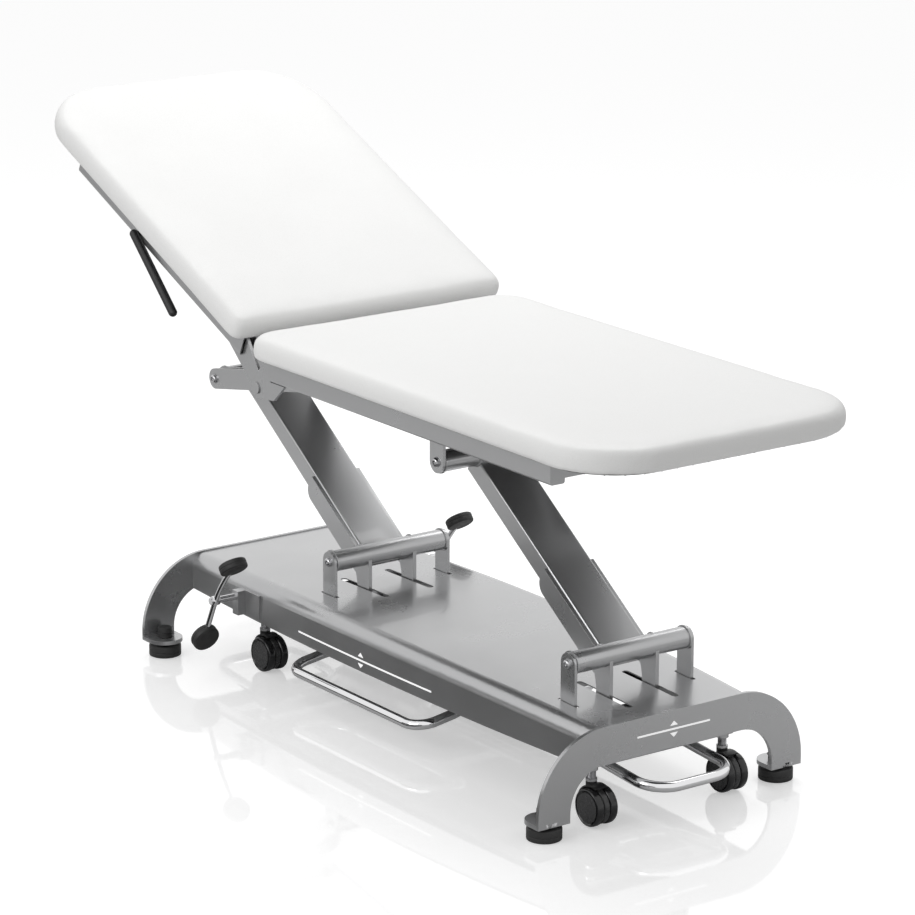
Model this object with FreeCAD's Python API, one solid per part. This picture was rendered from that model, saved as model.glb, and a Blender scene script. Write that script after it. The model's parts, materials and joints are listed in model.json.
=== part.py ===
"""Examination table with a flat seat section and a hinged backrest on a parallel-arm lift.

X runs along the table to its foot end, Y runs across it, and Z is up from the floor.
All sizes are in millimetres. The table is drawn at rest: the backrest partly raised, the
lift at about mid height, the castors lifted clear of the floor.
"""
import FreeCAD, Part
import math
import os

V = FreeCAD.Vector

# End plates: arches of flat steel that carry the base at both ends
BASE_HALF = 677.0
BASE_HALF_WIDTH = 309.0
END_PLATE = 8.0
ARCH_TOP = 198.0
ARCH_RADIUS = 150.0
LEG_WIDTH = 72.0
LEG_BOTTOM = 30.0

# Levelling feet under the turned-in tabs of the legs
FOOT_INSET = 30.0
FOOT_RADIUS = 33.0
FOOT_HEIGHT = 24.0
SCREW_RADIUS = 6.0
NUT_RADIUS = 11.0
KNOB_RADIUS = 15.0
KNOB_HEIGHT = 27.0

# Base cover: a thin shell, a little wider and higher in the middle than at its ends
COVER_HALF_END = 190.0
COVER_HALF_MID = 214.0
COVER_TOP_END = 195.5
COVER_TOP_MID = 210.0
COVER_BOTTOM = 122.0
COVER_WALL = 2.5
COVER_EDGE_RADIUS = 28.0

# Base frame of box section inside the cover
RAIL_INNER = 140.0
RAIL_WIDTH = 31.0
RAIL_BOTTOM = 130.0
RAIL_HEIGHT = 50.0
CROSSBAR_HEIGHT = 12.0
CROSSBAR_WIDTH = 40.0
END_CROSSBAR_INSET = 92.0
INNER_CROSSBARS = (-60.0, 300.0)
SADDLE_HALF = 12.0

# Parallel-arm lift: two equal arms between equal pivot spacings
LOWER_PIVOT_X = -239.0
LOWER_PIVOT_Z = 276.0
PIVOT_SPACING = 778.0
ARM_LENGTH = 504.0
ARM_ANGLE = 35.0
CROSS_TUBE_RADIUS = 21.0
CROSS_TUBE_WALL = 4.0
COLLAR_RADIUS = 23.5
COLLAR_WIDTH = 3.0
PLUG_LENGTH = 26.0
BRACKET_PLATE = 6.0
BRACKET_HALF_WIDTH = 21.0
BRACKET_OUTER = 140.0
TOP_INNER_PLATE = 121.0
BEAM_WIDTH = 100.0
BEAM_DEPTH = 42.0
BEAM_WALL = 4.0
BEAM_FACE = -1.0
CHEEK_PLATE = 8.0
CHEEK_SETBACK = 4.0
CHEEK_DEPTH = 44.0
CHEEK_LENGTH = 218.0
CHEEK_CORNER = 26.0
PIVOT_BOLT_RADIUS = 8.0
BOLT_HEAD_RADIUS = 9.0
WASHER_RADIUS = 12.0

# Lever plates that hang from the cross tubes, with the link and the actuator between them
LEVER_INNER = BEAM_WIDTH / 2
LEVER_PLATE = 8.0
LEVER_REACH = 110.0
LEVER_END_RADIUS = 20.0
LEVER_PIN_RADIUS = 6.0
LINK_INNER = 38.0
LINK_PLATE = 8.0
LINK_HALF_HEIGHT = 12.0
SLOT_HALF_LENGTH = 80.0
ACTUATOR_HALF = 18.0
ACTUATOR_FRONT = -110.0
MOTOR_RADIUS = 23.0
MOTOR_START = 120.0
MOTOR_LENGTH = 150.0
ACTUATOR_ROD_RADIUS = 10.0
YOKE_HALF_WIDTH = 12.0
YOKE_SLOT_HALF = 9.5
YOKE_WALL = 9.0
YOKE_RISE = 31.0
ROD_ENGAGEMENT = 130.0
BORE_END_WALL = 30.0

# Upper frame: rails under the pad edges, beams above the pivots, cross members between
PAD_HALF_WIDTH = 325.0
BEAM_RISE = 54.917
SUBFRAME_HEIGHT = 96.0
PAD_THICKNESS = 48.0
SEAT_HEAD_X = -270.0
SEAT_FOOT_X = 855.0
SEAT_RAIL_HEAD_X = -214.0
SEAT_RAIL_FOOT_X = 678.0
SEAT_RAIL_HEIGHT = 45.0
RAIL_OUTER = 290.0
SEAT_RAIL_WIDTH = 32.0
RAIL_WALL = 2.5
RAIL_CORNER = 4.0
CAP_THICKNESS = 4.0
UPPER_BEAM_HEIGHT = 40.0
UPPER_BEAM_WIDTH = 25.0
UPPER_BEAM_HEAD_X = -500.0
UPPER_BEAM_FOOT_X = 350.0
HEAD_PLATE_FOOT_X = -330.0
MEMBER_PLACES = (-190.0, 330.0, 600.0)
MEMBER_SIZE = 40.0
SPRING_ANCHOR_SETBACK = 86.0

# Backrest: drawn level, then turned up about its hinge
HINGE_X = -264.0
HINGE_DEPTH = 66.0
BACKREST_ANGLE = 23.85
BACKREST_FOOT_X = -326.0
BACKREST_LENGTH = 850.0
BACKREST_RAIL_HEIGHT = 41.0
BACKREST_RAIL_FOOT_X = -340.0
BACKREST_RAIL_HEAD_X = -997.0
BACKREST_BARS = (-370.0, -690.0, -970.0)
BACKREST_BAR_WIDTH = 30.0
HINGE_WEDGE = 65.0
HINGE_PIN_RADIUS = 8.0
GUSSET_PLATE = 6.0
GUSSET_RADIUS = 20.0
PAD_CORNER = 150.0
SEAT_HINGE_CORNER = 22.0
BACKREST_HINGE_CORNER = 40.0
PAD_TOP_EDGE = 18.0
PAD_BOTTOM_EDGE = 6.0

# Gas spring under the seat and the crank on the backrest that it pushes
CRANK_LENGTH = 75.0
CRANK_LEAD = 5.5
CRANK_INNER = 8.0
CRANK_PLATE = 5.0
CRANK_PIN_RADIUS = 5.0
SPRING_RADIUS = 11.0
SPRING_ROD_RADIUS = 5.0
SPRING_DEPTH = 72.0
SPRING_FRONT_X = -212.0
SPRING_ENGAGEMENT = 110.0
SPRING_EYE_HALF = 12.0

# Release lever under the near edge of the backrest, in the level backrest
RELEASE_PIVOT_X = -750.0
RELEASE_PIVOT_DEPTH = 29.0
RELEASE_LENGTH = 196.0
RELEASE_DROP = 19.5
GRIP_RADIUS = 9.0

# Twin-wheel castors on two carriages that lower them to the floor
CASTOR_HEAD_X = -452.0
CASTOR_FOOT_INSET = 46.0
CASTOR_Y = 154.0
CASTOR_LIFT = 1.0
WHEEL_RADIUS = 36.0
WHEEL_WIDTH = 17.0
CASTOR_TRAIL = 16.0
CASTOR_WEB = 12.0
HOOD_OVERLAP = 8.0
AXLE_RADIUS = 4.0
STEM_RADIUS = 7.5
STEM_COLLAR_RADIUS = 12.0
CARRIAGE_BOTTOM = 110.0
CARRIAGE_HEIGHT = 14.0
CARRIAGE_WIDTH = 30.0
GUIDE_Y = 96.0
GUIDE_RADIUS = 9.0
GUIDE_TOP = 157.0

# Castor pedal: a cross shaft with a two-armed lever and two round treads on each side
PEDAL_X = -446.0
PEDAL_Z = 168.0
PEDAL_LEVER_Y = 278.0
PEDAL_UPPER = (71.0, 89.0)
PEDAL_LOWER = (-38.0, -87.0)
PEDAL_SHAFT_RADIUS = 7.0
PEDAL_BAR_RADIUS = 5.5
TREAD_RADIUS = 29.0
TREAD_THICKNESS = 16.0
TREAD_EDGE = 3.0
TREAD_SOCKET = 16.0
PEDAL_BEND = 50.0
PEDAL_BRACKET_WIDTH = 70.0
PEDAL_BRACKET_HEIGHT = 50.0

# Foot bars: closed chrome hoops hinged on their inner run
HOOP_RADIUS = 10.0
SIDE_HOOP_Z = 82.0
SIDE_HOOP_DIP = 9.2
END_HOOP_Z = 97.0
END_HOOP_DIP = 4.5
SIDE_HOOP_X = (-271.0, 176.0)
SIDE_HOOP_Y = (95.0, 219.0)
END_HOOP_INSET = 137.0
END_HOOP_DEPTH = 205.0
END_HOOP_HALF = 97.0
SIDE_HOOP_CORNER = 42.0
END_HOOP_CORNER = 56.0
HANGER_PLATE = 6.0
HANGER_SPREAD = 30.0
HANGER_HALF = 16.0

# Control unit of the lift, between two crossbars
CONTROL_LENGTH = 150.0
CONTROL_WIDTH = 66.0
CONTROL_HEIGHT = 38.0

# Clearances
RUNNING = 0.06
SEAT_GAP = 0.4
OPEN_PIVOT = 0.5
SLOT_GAP = 3.0

# Heights of the upper frame, carried by the upper pivots
BEAM_BOTTOM = LOWER_PIVOT_Z + ARM_LENGTH * math.sin(math.radians(ARM_ANGLE)) + BEAM_RISE
PAD_BOTTOM = BEAM_BOTTOM + SUBFRAME_HEIGHT
HINGE_Z = PAD_BOTTOM - HINGE_DEPTH
SPRING_AXIS_Z = HINGE_Z - SPRING_DEPTH
RELEASE_PIVOT_Z = PAD_BOTTOM - RELEASE_PIVOT_DEPTH

# Places along the base that follow its length
CASTOR_FOOT_X = BASE_HALF - CASTOR_FOOT_INSET
END_CROSSBAR_X = BASE_HALF - END_CROSSBAR_INSET
CROSSBAR_PLACES = (-END_CROSSBAR_X,) + INNER_CROSSBARS + (END_CROSSBAR_X,)
END_HOOP_X = (BASE_HALF - END_HOOP_INSET, BASE_HALF - END_HOOP_INSET + END_HOOP_DEPTH)

nodes = {}


def box(x0, x1, y0, y1, z0, z1):
    """Block between two opposite corners."""
    return Part.makeBox(x1 - x0, y1 - y0, z1 - z0, V(x0, y0, z0))


def rod(start, end, radius):
    """Round bar between two points."""
    run = end - start
    return Part.makeCylinder(radius, run.Length, start, run)


def pipe(start, end, radius, wall):
    """Round tube between two points."""
    return rod(start, end, radius).cut(rod(start, end, radius - wall))


def fuse(shapes):
    """One shape from several that touch or overlap."""
    whole = shapes[0].multiFuse(shapes[1:])
    return whole.removeSplitter()


def group(shapes):
    """Separate solids kept together in one node."""
    return Part.makeCompound(shapes)


def mirrored(shape):
    """The same piece on the other side of the table."""
    return shape.mirror(V(0, 0, 0), V(0, 1, 0))


def both_sides(shape):
    """A piece and its mirror image across the table."""
    return group([shape, mirrored(shape)])


def ends_mirrored(shape):
    """The same piece at the other end of the base."""
    return shape.mirror(V(0, 0, 0), V(1, 0, 0))


def plate_xz(points, y0, y1):
    """Flat plate standing along the table, from its outline in X and Z."""
    corners = [V(x, y0, z) for x, z in points]
    face = Part.Face(Part.makePolygon(corners + corners[:1]))
    return face.extrude(V(0, y1 - y0, 0))


def plate_yz(points, x0, x1):
    """Flat plate standing across the table, from its outline in Y and Z."""
    corners = [V(x0, y, z) for y, z in points]
    face = Part.Face(Part.makePolygon(corners + corners[:1]))
    return face.extrude(V(x1 - x0, 0, 0))


def disc_y(x, z, radius, y0, y1):
    """Round plate or boss whose axis runs across the table."""
    return rod(V(x, y0, z), V(x, y1, z), radius)


def disc_z(x, y, radius, z0, z1):
    """Round plate or post whose axis is upright."""
    return rod(V(x, y, z0), V(x, y, z1), radius)


def hexagon_y(x, z, radius, y0, y1):
    """Six-sided bolt head or nut whose axis runs across the table."""
    points = []
    for step in range(6):
        turn = math.radians(60 * step + 30)
        points.append((x + radius * math.cos(turn), z + radius * math.sin(turn)))
    return plate_xz(points, y0, y1)


def box_tube(x0, x1, y0, y1, z0, z1, wall, corner):
    """Rounded box section that runs along the table."""
    outer = box(x0, x1, y0, y1, z0, z1)
    long_edges = [e for e in outer.Edges if abs(e.Length - (x1 - x0)) < 1e-6]
    outer = outer.makeFillet(corner, long_edges)
    bore = box(x0 - 1, x1 + 1, y0 + wall, y1 - wall, z0 + wall, z1 - wall)
    return outer.cut(bore)


def cross_box_tube(x, width, half_length, z0, z1):
    """Box section that runs across the table."""
    outer = box(x - width / 2, x + width / 2, -half_length, half_length, z0, z1)
    bore = box(x - width / 2 + RAIL_WALL, x + width / 2 - RAIL_WALL, -half_length - 1, half_length + 1,
               z0 + RAIL_WALL, z1 - RAIL_WALL)
    return outer.cut(bore)


def upright_edges(shape):
    """Edges that run straight up."""
    found = []
    for edge in shape.Edges:
        ends = edge.Vertexes
        if len(ends) == 2 and abs(ends[0].X - ends[1].X) < 1e-6 and abs(ends[0].Y - ends[1].Y) < 1e-6:
            found.append(edge)
    return found


def arch_outline(plane_x):
    """Outline of an end plate: outer arch, legs, and the same arch inside."""
    low, high, half = LEG_BOTTOM, ARCH_TOP, BASE_HALF_WIDTH
    centre_y, centre_z = half - ARCH_RADIUS, high - ARCH_RADIUS
    inner = ARCH_RADIUS - LEG_WIDTH
    slant = math.sqrt(0.5)

    def point(side, y, z):
        return V(plane_x, side * y, z)

    def corner(side, radius):
        """Middle of the arch's round corner."""
        return point(side, centre_y + slant * radius, centre_z + slant * radius)

    edges = [
        Part.LineSegment(point(-1, half, low), point(-1, half, centre_z)),
        Part.Arc(point(-1, half, centre_z), corner(-1, ARCH_RADIUS), point(-1, centre_y, high)),
        Part.LineSegment(point(-1, centre_y, high), point(1, centre_y, high)),
        Part.Arc(point(1, centre_y, high), corner(1, ARCH_RADIUS), point(1, half, centre_z)),
        Part.LineSegment(point(1, half, centre_z), point(1, half, low)),
        Part.LineSegment(point(1, half, low), point(1, half - LEG_WIDTH, low)),
        Part.LineSegment(point(1, half - LEG_WIDTH, low), point(1, half - LEG_WIDTH, centre_z)),
        Part.Arc(point(1, half - LEG_WIDTH, centre_z), corner(1, inner),
                 point(1, centre_y, high - LEG_WIDTH)),
        Part.LineSegment(point(1, centre_y, high - LEG_WIDTH), point(-1, centre_y, high - LEG_WIDTH)),
        Part.Arc(point(-1, centre_y, high - LEG_WIDTH), corner(-1, inner),
                 point(-1, half - LEG_WIDTH, centre_z)),
        Part.LineSegment(point(-1, half - LEG_WIDTH, centre_z), point(-1, half - LEG_WIDTH, low)),
        Part.LineSegment(point(-1, half - LEG_WIDTH, low), point(-1, half, low)),
    ]
    return Part.Wire([e.toShape() for e in edges])


def end_plate():
    """Arch at the foot end with a half-round tab turned in at the bottom of each leg."""
    plate = Part.Face(arch_outline(BASE_HALF - END_PLATE)).extrude(V(END_PLATE, 0, 0))
    half_tab = LEG_WIDTH / 2
    tab_y = BASE_HALF_WIDTH - half_tab
    foot_x = BASE_HALF - FOOT_INSET
    top = LEG_BOTTOM + END_PLATE
    tabs = []
    for side in (-1, 1):
        y = side * tab_y
        tab = box(foot_x, BASE_HALF - END_PLATE, y - half_tab, y + half_tab, LEG_BOTTOM, top)
        tab = tab.fuse(disc_z(foot_x, y, half_tab, LEG_BOTTOM, top))
        tabs.append(tab.cut(disc_z(foot_x, y, SCREW_RADIUS + RUNNING, 0, ARCH_TOP)))
    return fuse([plate] + tabs)


def levelling_foot(x, y):
    """Stepped foot disc, its screw with a lock nut, and the turning knob over the tab."""
    radius, height = FOOT_RADIUS, FOOT_HEIGHT
    outline = [(0, 0), (radius - 1, 0), (radius, 2), (radius, height - 2), (radius - 2, height), (0, height)]
    wire = Part.makePolygon([V(r, 0, z) for r, z in outline] + [V(0, 0, 0)])
    disc = Part.Face(wire).revolve(V(0, 0, 0), V(0, 0, 1), 360)
    disc.translate(V(x, y, 0))
    knob_low = LEG_BOTTOM + END_PLATE + SEAT_GAP
    knob_high = knob_low + KNOB_HEIGHT
    screw = disc_z(x, y, SCREW_RADIUS, height, knob_high)
    nut = disc_z(x, y, NUT_RADIUS, height + 1, LEG_BOTTOM - SEAT_GAP)
    knob = disc_z(x, y, KNOB_RADIUS, knob_low, knob_high)
    spindle = fuse([screw, nut, knob])
    return group([disc, spindle])


def bulged_block(inset):
    """Outer or inner volume of the cover, with arched sides and an arched top."""
    reach = BASE_HALF - END_PLATE
    end_y, mid_y = COVER_HALF_END - inset, COVER_HALF_MID - inset
    end_z, mid_z = COVER_TOP_END - inset, COVER_TOP_MID - inset
    low = COVER_BOTTOM
    plan = Part.Wire([
        Part.LineSegment(V(-reach, end_y, low), V(-reach, -end_y, low)).toShape(),
        Part.Arc(V(-reach, -end_y, low), V(0, -mid_y, low), V(reach, -end_y, low)).toShape(),
        Part.LineSegment(V(reach, -end_y, low), V(reach, end_y, low)).toShape(),
        Part.Arc(V(reach, end_y, low), V(0, mid_y, low), V(-reach, end_y, low)).toShape(),
    ])
    wide = Part.Face(plan).extrude(V(0, 0, mid_z))
    edge_y = -mid_y - 10
    profile = Part.Wire([
        Part.LineSegment(V(-reach, edge_y, end_z), V(-reach, edge_y, low)).toShape(),
        Part.LineSegment(V(-reach, edge_y, low), V(reach, edge_y, low)).toShape(),
        Part.LineSegment(V(reach, edge_y, low), V(reach, edge_y, end_z)).toShape(),
        Part.Arc(V(reach, edge_y, end_z), V(0, edge_y, mid_z), V(-reach, edge_y, end_z)).toShape(),
    ])
    tall = Part.Face(profile).extrude(V(0, -2 * edge_y, 0))
    block = wide.common(tall)
    shoulders = []
    for edge in block.Edges:
        if edge.Length > reach and edge.BoundBox.ZMin > (low + end_z) / 2:
            shoulders.append(edge)
    return block.makeFillet(COVER_EDGE_RADIUS - inset, shoulders)


def slot_cut(x, half_length, y_middle, half_width):
    """Round-ended cutter for a slot along the table."""
    low, high = COVER_TOP_END - 20, COVER_TOP_MID + 20
    reach = half_length - half_width
    parts = [box(x - reach, x + reach, y_middle - half_width, y_middle + half_width, low, high)]
    for end in (-reach, reach):
        parts.append(disc_z(x + end, y_middle, half_width, low, high))
    return fuse(parts)


def base_cover():
    """Thin cover with slots for the pivot brackets and the lever plates."""
    shell = bulged_block(0).cut(bulged_block(COVER_WALL))
    low = COVER_BOTTOM - 1
    reach = BASE_HALF
    shell = shell.cut(box(-reach, reach, -COVER_HALF_END + COVER_EDGE_RADIUS,
                          COVER_HALF_END - COVER_EDGE_RADIUS, low, COVER_BOTTOM + COVER_WALL))
    cutters = []
    for pivot in (LOWER_PIVOT_X, LOWER_PIVOT_X + PIVOT_SPACING):
        for side in (-1, 1):
            plate_y = side * (BRACKET_OUTER - BRACKET_PLATE / 2)
            half_plate = BRACKET_PLATE / 2 + SLOT_GAP / 2
            cutters.append(slot_cut(pivot, BRACKET_HALF_WIDTH + SLOT_GAP + half_plate, plate_y, half_plate))
            lever_y = side * (LEVER_INNER + LEVER_PLATE / 2)
            cutters.append(slot_cut(pivot, SLOT_HALF_LENGTH, lever_y, LEVER_PLATE / 2 + SLOT_GAP))
    for side in (-1, 1):
        edge = side * (COVER_HALF_END - COVER_EDGE_RADIUS)
        hole_y = (edge, side * (COVER_HALF_MID + 5))
        cutters.append(disc_y(PEDAL_X, PEDAL_Z, PEDAL_SHAFT_RADIUS + 2, min(hole_y), max(hole_y)))
    return shell.cut(cutters)


def base_frame():
    """Two box rails joined by flat crossbars, with sleeves that guide the castor carriages."""
    reach = BASE_HALF - END_PLATE
    rail = box_tube(-reach, reach, RAIL_INNER, RAIL_INNER + RAIL_WIDTH,
                    RAIL_BOTTOM, RAIL_BOTTOM + RAIL_HEIGHT, RAIL_WALL, RAIL_CORNER)
    rails = [rail, mirrored(rail)]
    bars = []
    half_bar = CROSSBAR_WIDTH / 2
    top = RAIL_BOTTOM + CROSSBAR_HEIGHT
    for x in CROSSBAR_PLACES + (CASTOR_HEAD_X, CASTOR_FOOT_X):
        bars.append(box(x - half_bar, x + half_bar, -RAIL_INNER, RAIL_INNER, RAIL_BOTTOM, top))
    sleeves = []
    guides = []
    for x in (CASTOR_HEAD_X, CASTOR_FOOT_X):
        for side in (-1, 1):
            y = side * GUIDE_Y
            sleeves.append(disc_z(x, y, GUIDE_RADIUS + 4, RAIL_BOTTOM, top + 14))
            guides.append(disc_z(x, y, GUIDE_RADIUS + RUNNING, RAIL_BOTTOM - 1, ARCH_TOP))
    front = CROSSBAR_PLACES[1]
    saddle = box(front - SADDLE_HALF, front + SADDLE_HALF, -ACTUATOR_HALF, ACTUATOR_HALF, top,
                 actuator_axis_z() - ACTUATOR_HALF)
    frame = fuse(rails + bars + sleeves + [saddle])
    shaft = disc_y(PEDAL_X, PEDAL_Z, PEDAL_SHAFT_RADIUS + RUNNING, -COVER_HALF_MID, COVER_HALF_MID)
    return frame.cut(guides + [shaft])


def actuator_axis_z():
    """Height of the lever pins, the link and the actuator at rest."""
    return LOWER_PIVOT_Z - LEVER_REACH


def bracket_plate(x):
    """Upright plate with a round top that carries one end of a cross tube."""
    low = RAIL_BOTTOM
    outer, inner = -BRACKET_OUTER, -BRACKET_OUTER + BRACKET_PLATE
    plate = box(x - BRACKET_HALF_WIDTH, x + BRACKET_HALF_WIDTH, outer, inner, low, LOWER_PIVOT_Z)
    plate = plate.fuse(disc_y(x, LOWER_PIVOT_Z, BRACKET_HALF_WIDTH, outer, inner)).removeSplitter()
    return plate.cut(disc_y(x, LOWER_PIVOT_Z, PIVOT_BOLT_RADIUS, outer - 1, inner + 1))


def pivot_bolt(x, z, plate_outer, tip):
    """Shoulder bolt with a washer and a six-sided head outside the plate."""
    head = -plate_outer
    shank = disc_y(x, z, PIVOT_BOLT_RADIUS, head, tip)
    washer = disc_y(x, z, WASHER_RADIUS, head - 2, head)
    cap = hexagon_y(x, z, BOLT_HEAD_RADIUS, head - 8, head - 2)
    return fuse([shank, washer, cap])


def cross_tube(x, z, half_length, clearance):
    """Cross tube with a collar and a bored plug at each end."""
    tube = pipe(V(x, -half_length, z), V(x, half_length, z), CROSS_TUBE_RADIUS, CROSS_TUBE_WALL)
    parts = [tube]
    for side in (-1, 1):
        end, start = side * half_length, side * (half_length - PLUG_LENGTH)
        low, high = min(end, start), max(end, start)
        parts.append(disc_y(x, z, CROSS_TUBE_RADIUS - CROSS_TUBE_WALL, low, high))
        edge = side * (half_length - COLLAR_WIDTH)
        parts.append(disc_y(x, z, COLLAR_RADIUS, min(edge, end), max(edge, end)))
    whole = fuse(parts)
    bore = disc_y(x, z, PIVOT_BOLT_RADIUS + clearance, -half_length - 1, half_length + 1)
    return whole.cut(bore)


def arm_place(pivot_x, along, across):
    """Point of an arm, measured along it from the lower pivot and square to it."""
    turn = math.radians(ARM_ANGLE)
    x = pivot_x - along * math.cos(turn) + across * math.sin(turn)
    z = LOWER_PIVOT_Z + along * math.sin(turn) + across * math.cos(turn)
    return x, z


def arm_beam(pivot_x):
    """Box-section arm, coped at both ends to the cross tubes."""
    def section(half_width, face, back):
        ends = [(0, face), (ARM_LENGTH, face), (ARM_LENGTH, back), (0, back)]
        return plate_xz([arm_place(pivot_x, s, t) for s, t in ends], -half_width, half_width)

    face, back = BEAM_FACE, BEAM_FACE - BEAM_DEPTH
    outer = section(BEAM_WIDTH / 2, face, back)
    along = [e for e in outer.Edges if abs(e.Length - ARM_LENGTH) < 1e-6]
    outer = outer.makeFillet(RAIL_CORNER, along)
    beam = outer.cut(section(BEAM_WIDTH / 2 - BEAM_WALL, face - BEAM_WALL, back + BEAM_WALL))
    top_x, top_z = arm_place(pivot_x, ARM_LENGTH, 0)
    ends = [disc_y(pivot_x, LOWER_PIVOT_Z, CROSS_TUBE_RADIUS, -BEAM_WIDTH, BEAM_WIDTH),
            disc_y(top_x, top_z, CROSS_TUBE_RADIUS, -BEAM_WIDTH, BEAM_WIDTH)]
    return beam.cut(ends)


def arm_cheeks(pivot_x):
    """Deep side plates welded to the lower part of the arm, with one round upper corner."""
    front = BEAM_FACE - CHEEK_SETBACK
    back = front - CHEEK_DEPTH
    inner = BEAM_WIDTH / 2
    ends = [(0, front), (CHEEK_LENGTH, front), (CHEEK_LENGTH, back), (0, back)]
    plate = plate_xz([arm_place(pivot_x, s, t) for s, t in ends], inner, inner + CHEEK_PLATE)
    corner_x, corner_z = arm_place(pivot_x, CHEEK_LENGTH, back)
    round_edges = []
    for edge in plate.Edges:
        middle = edge.CenterOfMass
        if math.hypot(middle.x - corner_x, middle.z - corner_z) < 1e-3:
            round_edges.append(edge)
    plate = plate.makeFillet(CHEEK_CORNER, round_edges)
    plate = plate.cut(disc_y(pivot_x, LOWER_PIVOT_Z, CROSS_TUBE_RADIUS, 0, BEAM_WIDTH))
    return both_sides(plate)


def lever_plates(pivot_x):
    """Two plates that hang from the cross tube into the base, joined by a pin."""
    low = actuator_axis_z()
    half = LEVER_END_RADIUS
    right = pivot_x + half
    left = pivot_x - half
    inner, outer = LEVER_INNER, LEVER_INNER + LEVER_PLATE
    lines = [
        Part.LineSegment(V(left - 26, inner, LOWER_PIVOT_Z - 10), V(right, inner, LOWER_PIVOT_Z)),
        Part.LineSegment(V(right, inner, LOWER_PIVOT_Z), V(right, inner, low)),
        Part.Arc(V(right, inner, low), V(pivot_x, inner, low - half), V(left, inner, low)),
        Part.LineSegment(V(left, inner, low), V(left, inner, low + 40)),
        Part.Arc(V(left, inner, low + 40), V(left - 8, inner, low + 74),
                 V(left - 26, inner, LOWER_PIVOT_Z - 10)),
    ]
    plate = Part.Face(Part.Wire([e.toShape() for e in lines])).extrude(V(0, LEVER_PLATE, 0))
    plate = plate.cut([disc_y(pivot_x, LOWER_PIVOT_Z, CROSS_TUBE_RADIUS, inner - 1, outer + 1),
                       arm_cheeks(pivot_x)])
    pin = disc_y(pivot_x, low, LEVER_PIN_RADIUS, -outer - 3, outer + 3)
    return fuse([plate, mirrored(plate), pin])


def lift_link():
    """Two flat bars that tie the head lever to the foot lever."""
    z = actuator_axis_z()
    head_x, foot_x = LOWER_PIVOT_X, LOWER_PIVOT_X + PIVOT_SPACING
    low, high = z - LINK_HALF_HEIGHT, z + LINK_HALF_HEIGHT
    inner, outer = LINK_INNER, LINK_INNER + LINK_PLATE
    bar = box(head_x, foot_x, inner, outer, low, high)
    for x in (head_x, foot_x):
        bar = bar.fuse(disc_y(x, z, LINK_HALF_HEIGHT, inner, outer))
    bar = bar.removeSplitter()
    bar = bar.cut(disc_y(head_x, z, LEVER_PIN_RADIUS + RUNNING, inner - 1, outer + 1))
    bar = bar.cut(disc_y(foot_x, z, LEVER_PIN_RADIUS + OPEN_PIVOT, inner - 1, outer + 1))
    return both_sides(bar)


def actuator_housing():
    """Square guide tube with the motor and gearbox behind it."""
    z = actuator_axis_z()
    half = ACTUATOR_HALF
    tube = box(ACTUATOR_FRONT, MOTOR_START, -half, half, z - half, z + half)
    motor = rod(V(MOTOR_START, 0, z), V(MOTOR_START + MOTOR_LENGTH, 0, z), MOTOR_RADIUS)
    mount_x = CROSSBAR_PLACES[2]
    ear = box(MOTOR_START + MOTOR_LENGTH, mount_x + SADDLE_HALF, -half / 2, half / 2, z - half / 2, z + half / 2)
    bore = rod(V(ACTUATOR_FRONT - 1, 0, z), V(MOTOR_START - BORE_END_WALL, 0, z), ACTUATOR_ROD_RADIUS + RUNNING)
    base = box(mount_x - SADDLE_HALF, mount_x + SADDLE_HALF, -half / 2, half / 2,
               RAIL_BOTTOM + CROSSBAR_HEIGHT, z - half / 2)
    return fuse([tube, motor, ear, base]).cut(bore)


def actuator_rod():
    """Push rod with a slotted yoke over the head lever pin."""
    z = actuator_axis_z()
    half = YOKE_SLOT_HALF + YOKE_WALL
    yoke_x = LOWER_PIVOT_X + half
    shank = rod(V(yoke_x, 0, z), V(ACTUATOR_FRONT + ROD_ENGAGEMENT, 0, z), ACTUATOR_ROD_RADIUS)
    yoke = box(LOWER_PIVOT_X - half, yoke_x, -YOKE_HALF_WIDTH, YOKE_HALF_WIDTH, z - YOKE_RISE / 2, z + YOKE_RISE)
    slot = box(LOWER_PIVOT_X - YOKE_SLOT_HALF, LOWER_PIVOT_X + YOKE_SLOT_HALF,
               -YOKE_HALF_WIDTH - 1, YOKE_HALF_WIDTH + 1, z - LEVER_PIN_RADIUS - 2, z + YOKE_RISE - YOKE_WALL + 1)
    return fuse([shank, yoke]).cut(slot)


def top_pivot(spacing_step):
    """Upper pivot of the head arm (step 0) or of the foot arm (step 1)."""
    return arm_place(LOWER_PIVOT_X + spacing_step * PIVOT_SPACING, ARM_LENGTH, 0)


def head_pivot_plates():
    """Long plates that reach from the beams down to the head arm, two on each side."""
    x, z = top_pivot(0)
    radius = BRACKET_HALF_WIDTH
    rise = math.radians(10.6)
    up = V(-radius * math.sin(rise), 0, radius * math.cos(rise))
    run = (BEAM_BOTTOM - z - up.z) / math.tan(rise)
    foot = HEAD_PLATE_FOOT_X
    low_edge = z - up.z + (foot - x + up.x) * math.tan(rise)
    outline = [(x + up.x, z + up.z), (x + up.x + run, BEAM_BOTTOM), (foot, BEAM_BOTTOM),
               (foot, low_edge), (x - up.x, z - up.z)]
    plates = []
    for outer in (-BRACKET_OUTER, -TOP_INNER_PLATE):
        plate = plate_xz(outline, outer, outer + BRACKET_PLATE)
        plate = plate.fuse(disc_y(x, z, radius, outer, outer + BRACKET_PLATE)).removeSplitter()
        bore = disc_y(x, z, PIVOT_BOLT_RADIUS, outer - 1, outer + BRACKET_PLATE + 1)
        plate = plate.cut(bore)
        plates += [plate, mirrored(plate)]
    return plates


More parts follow.
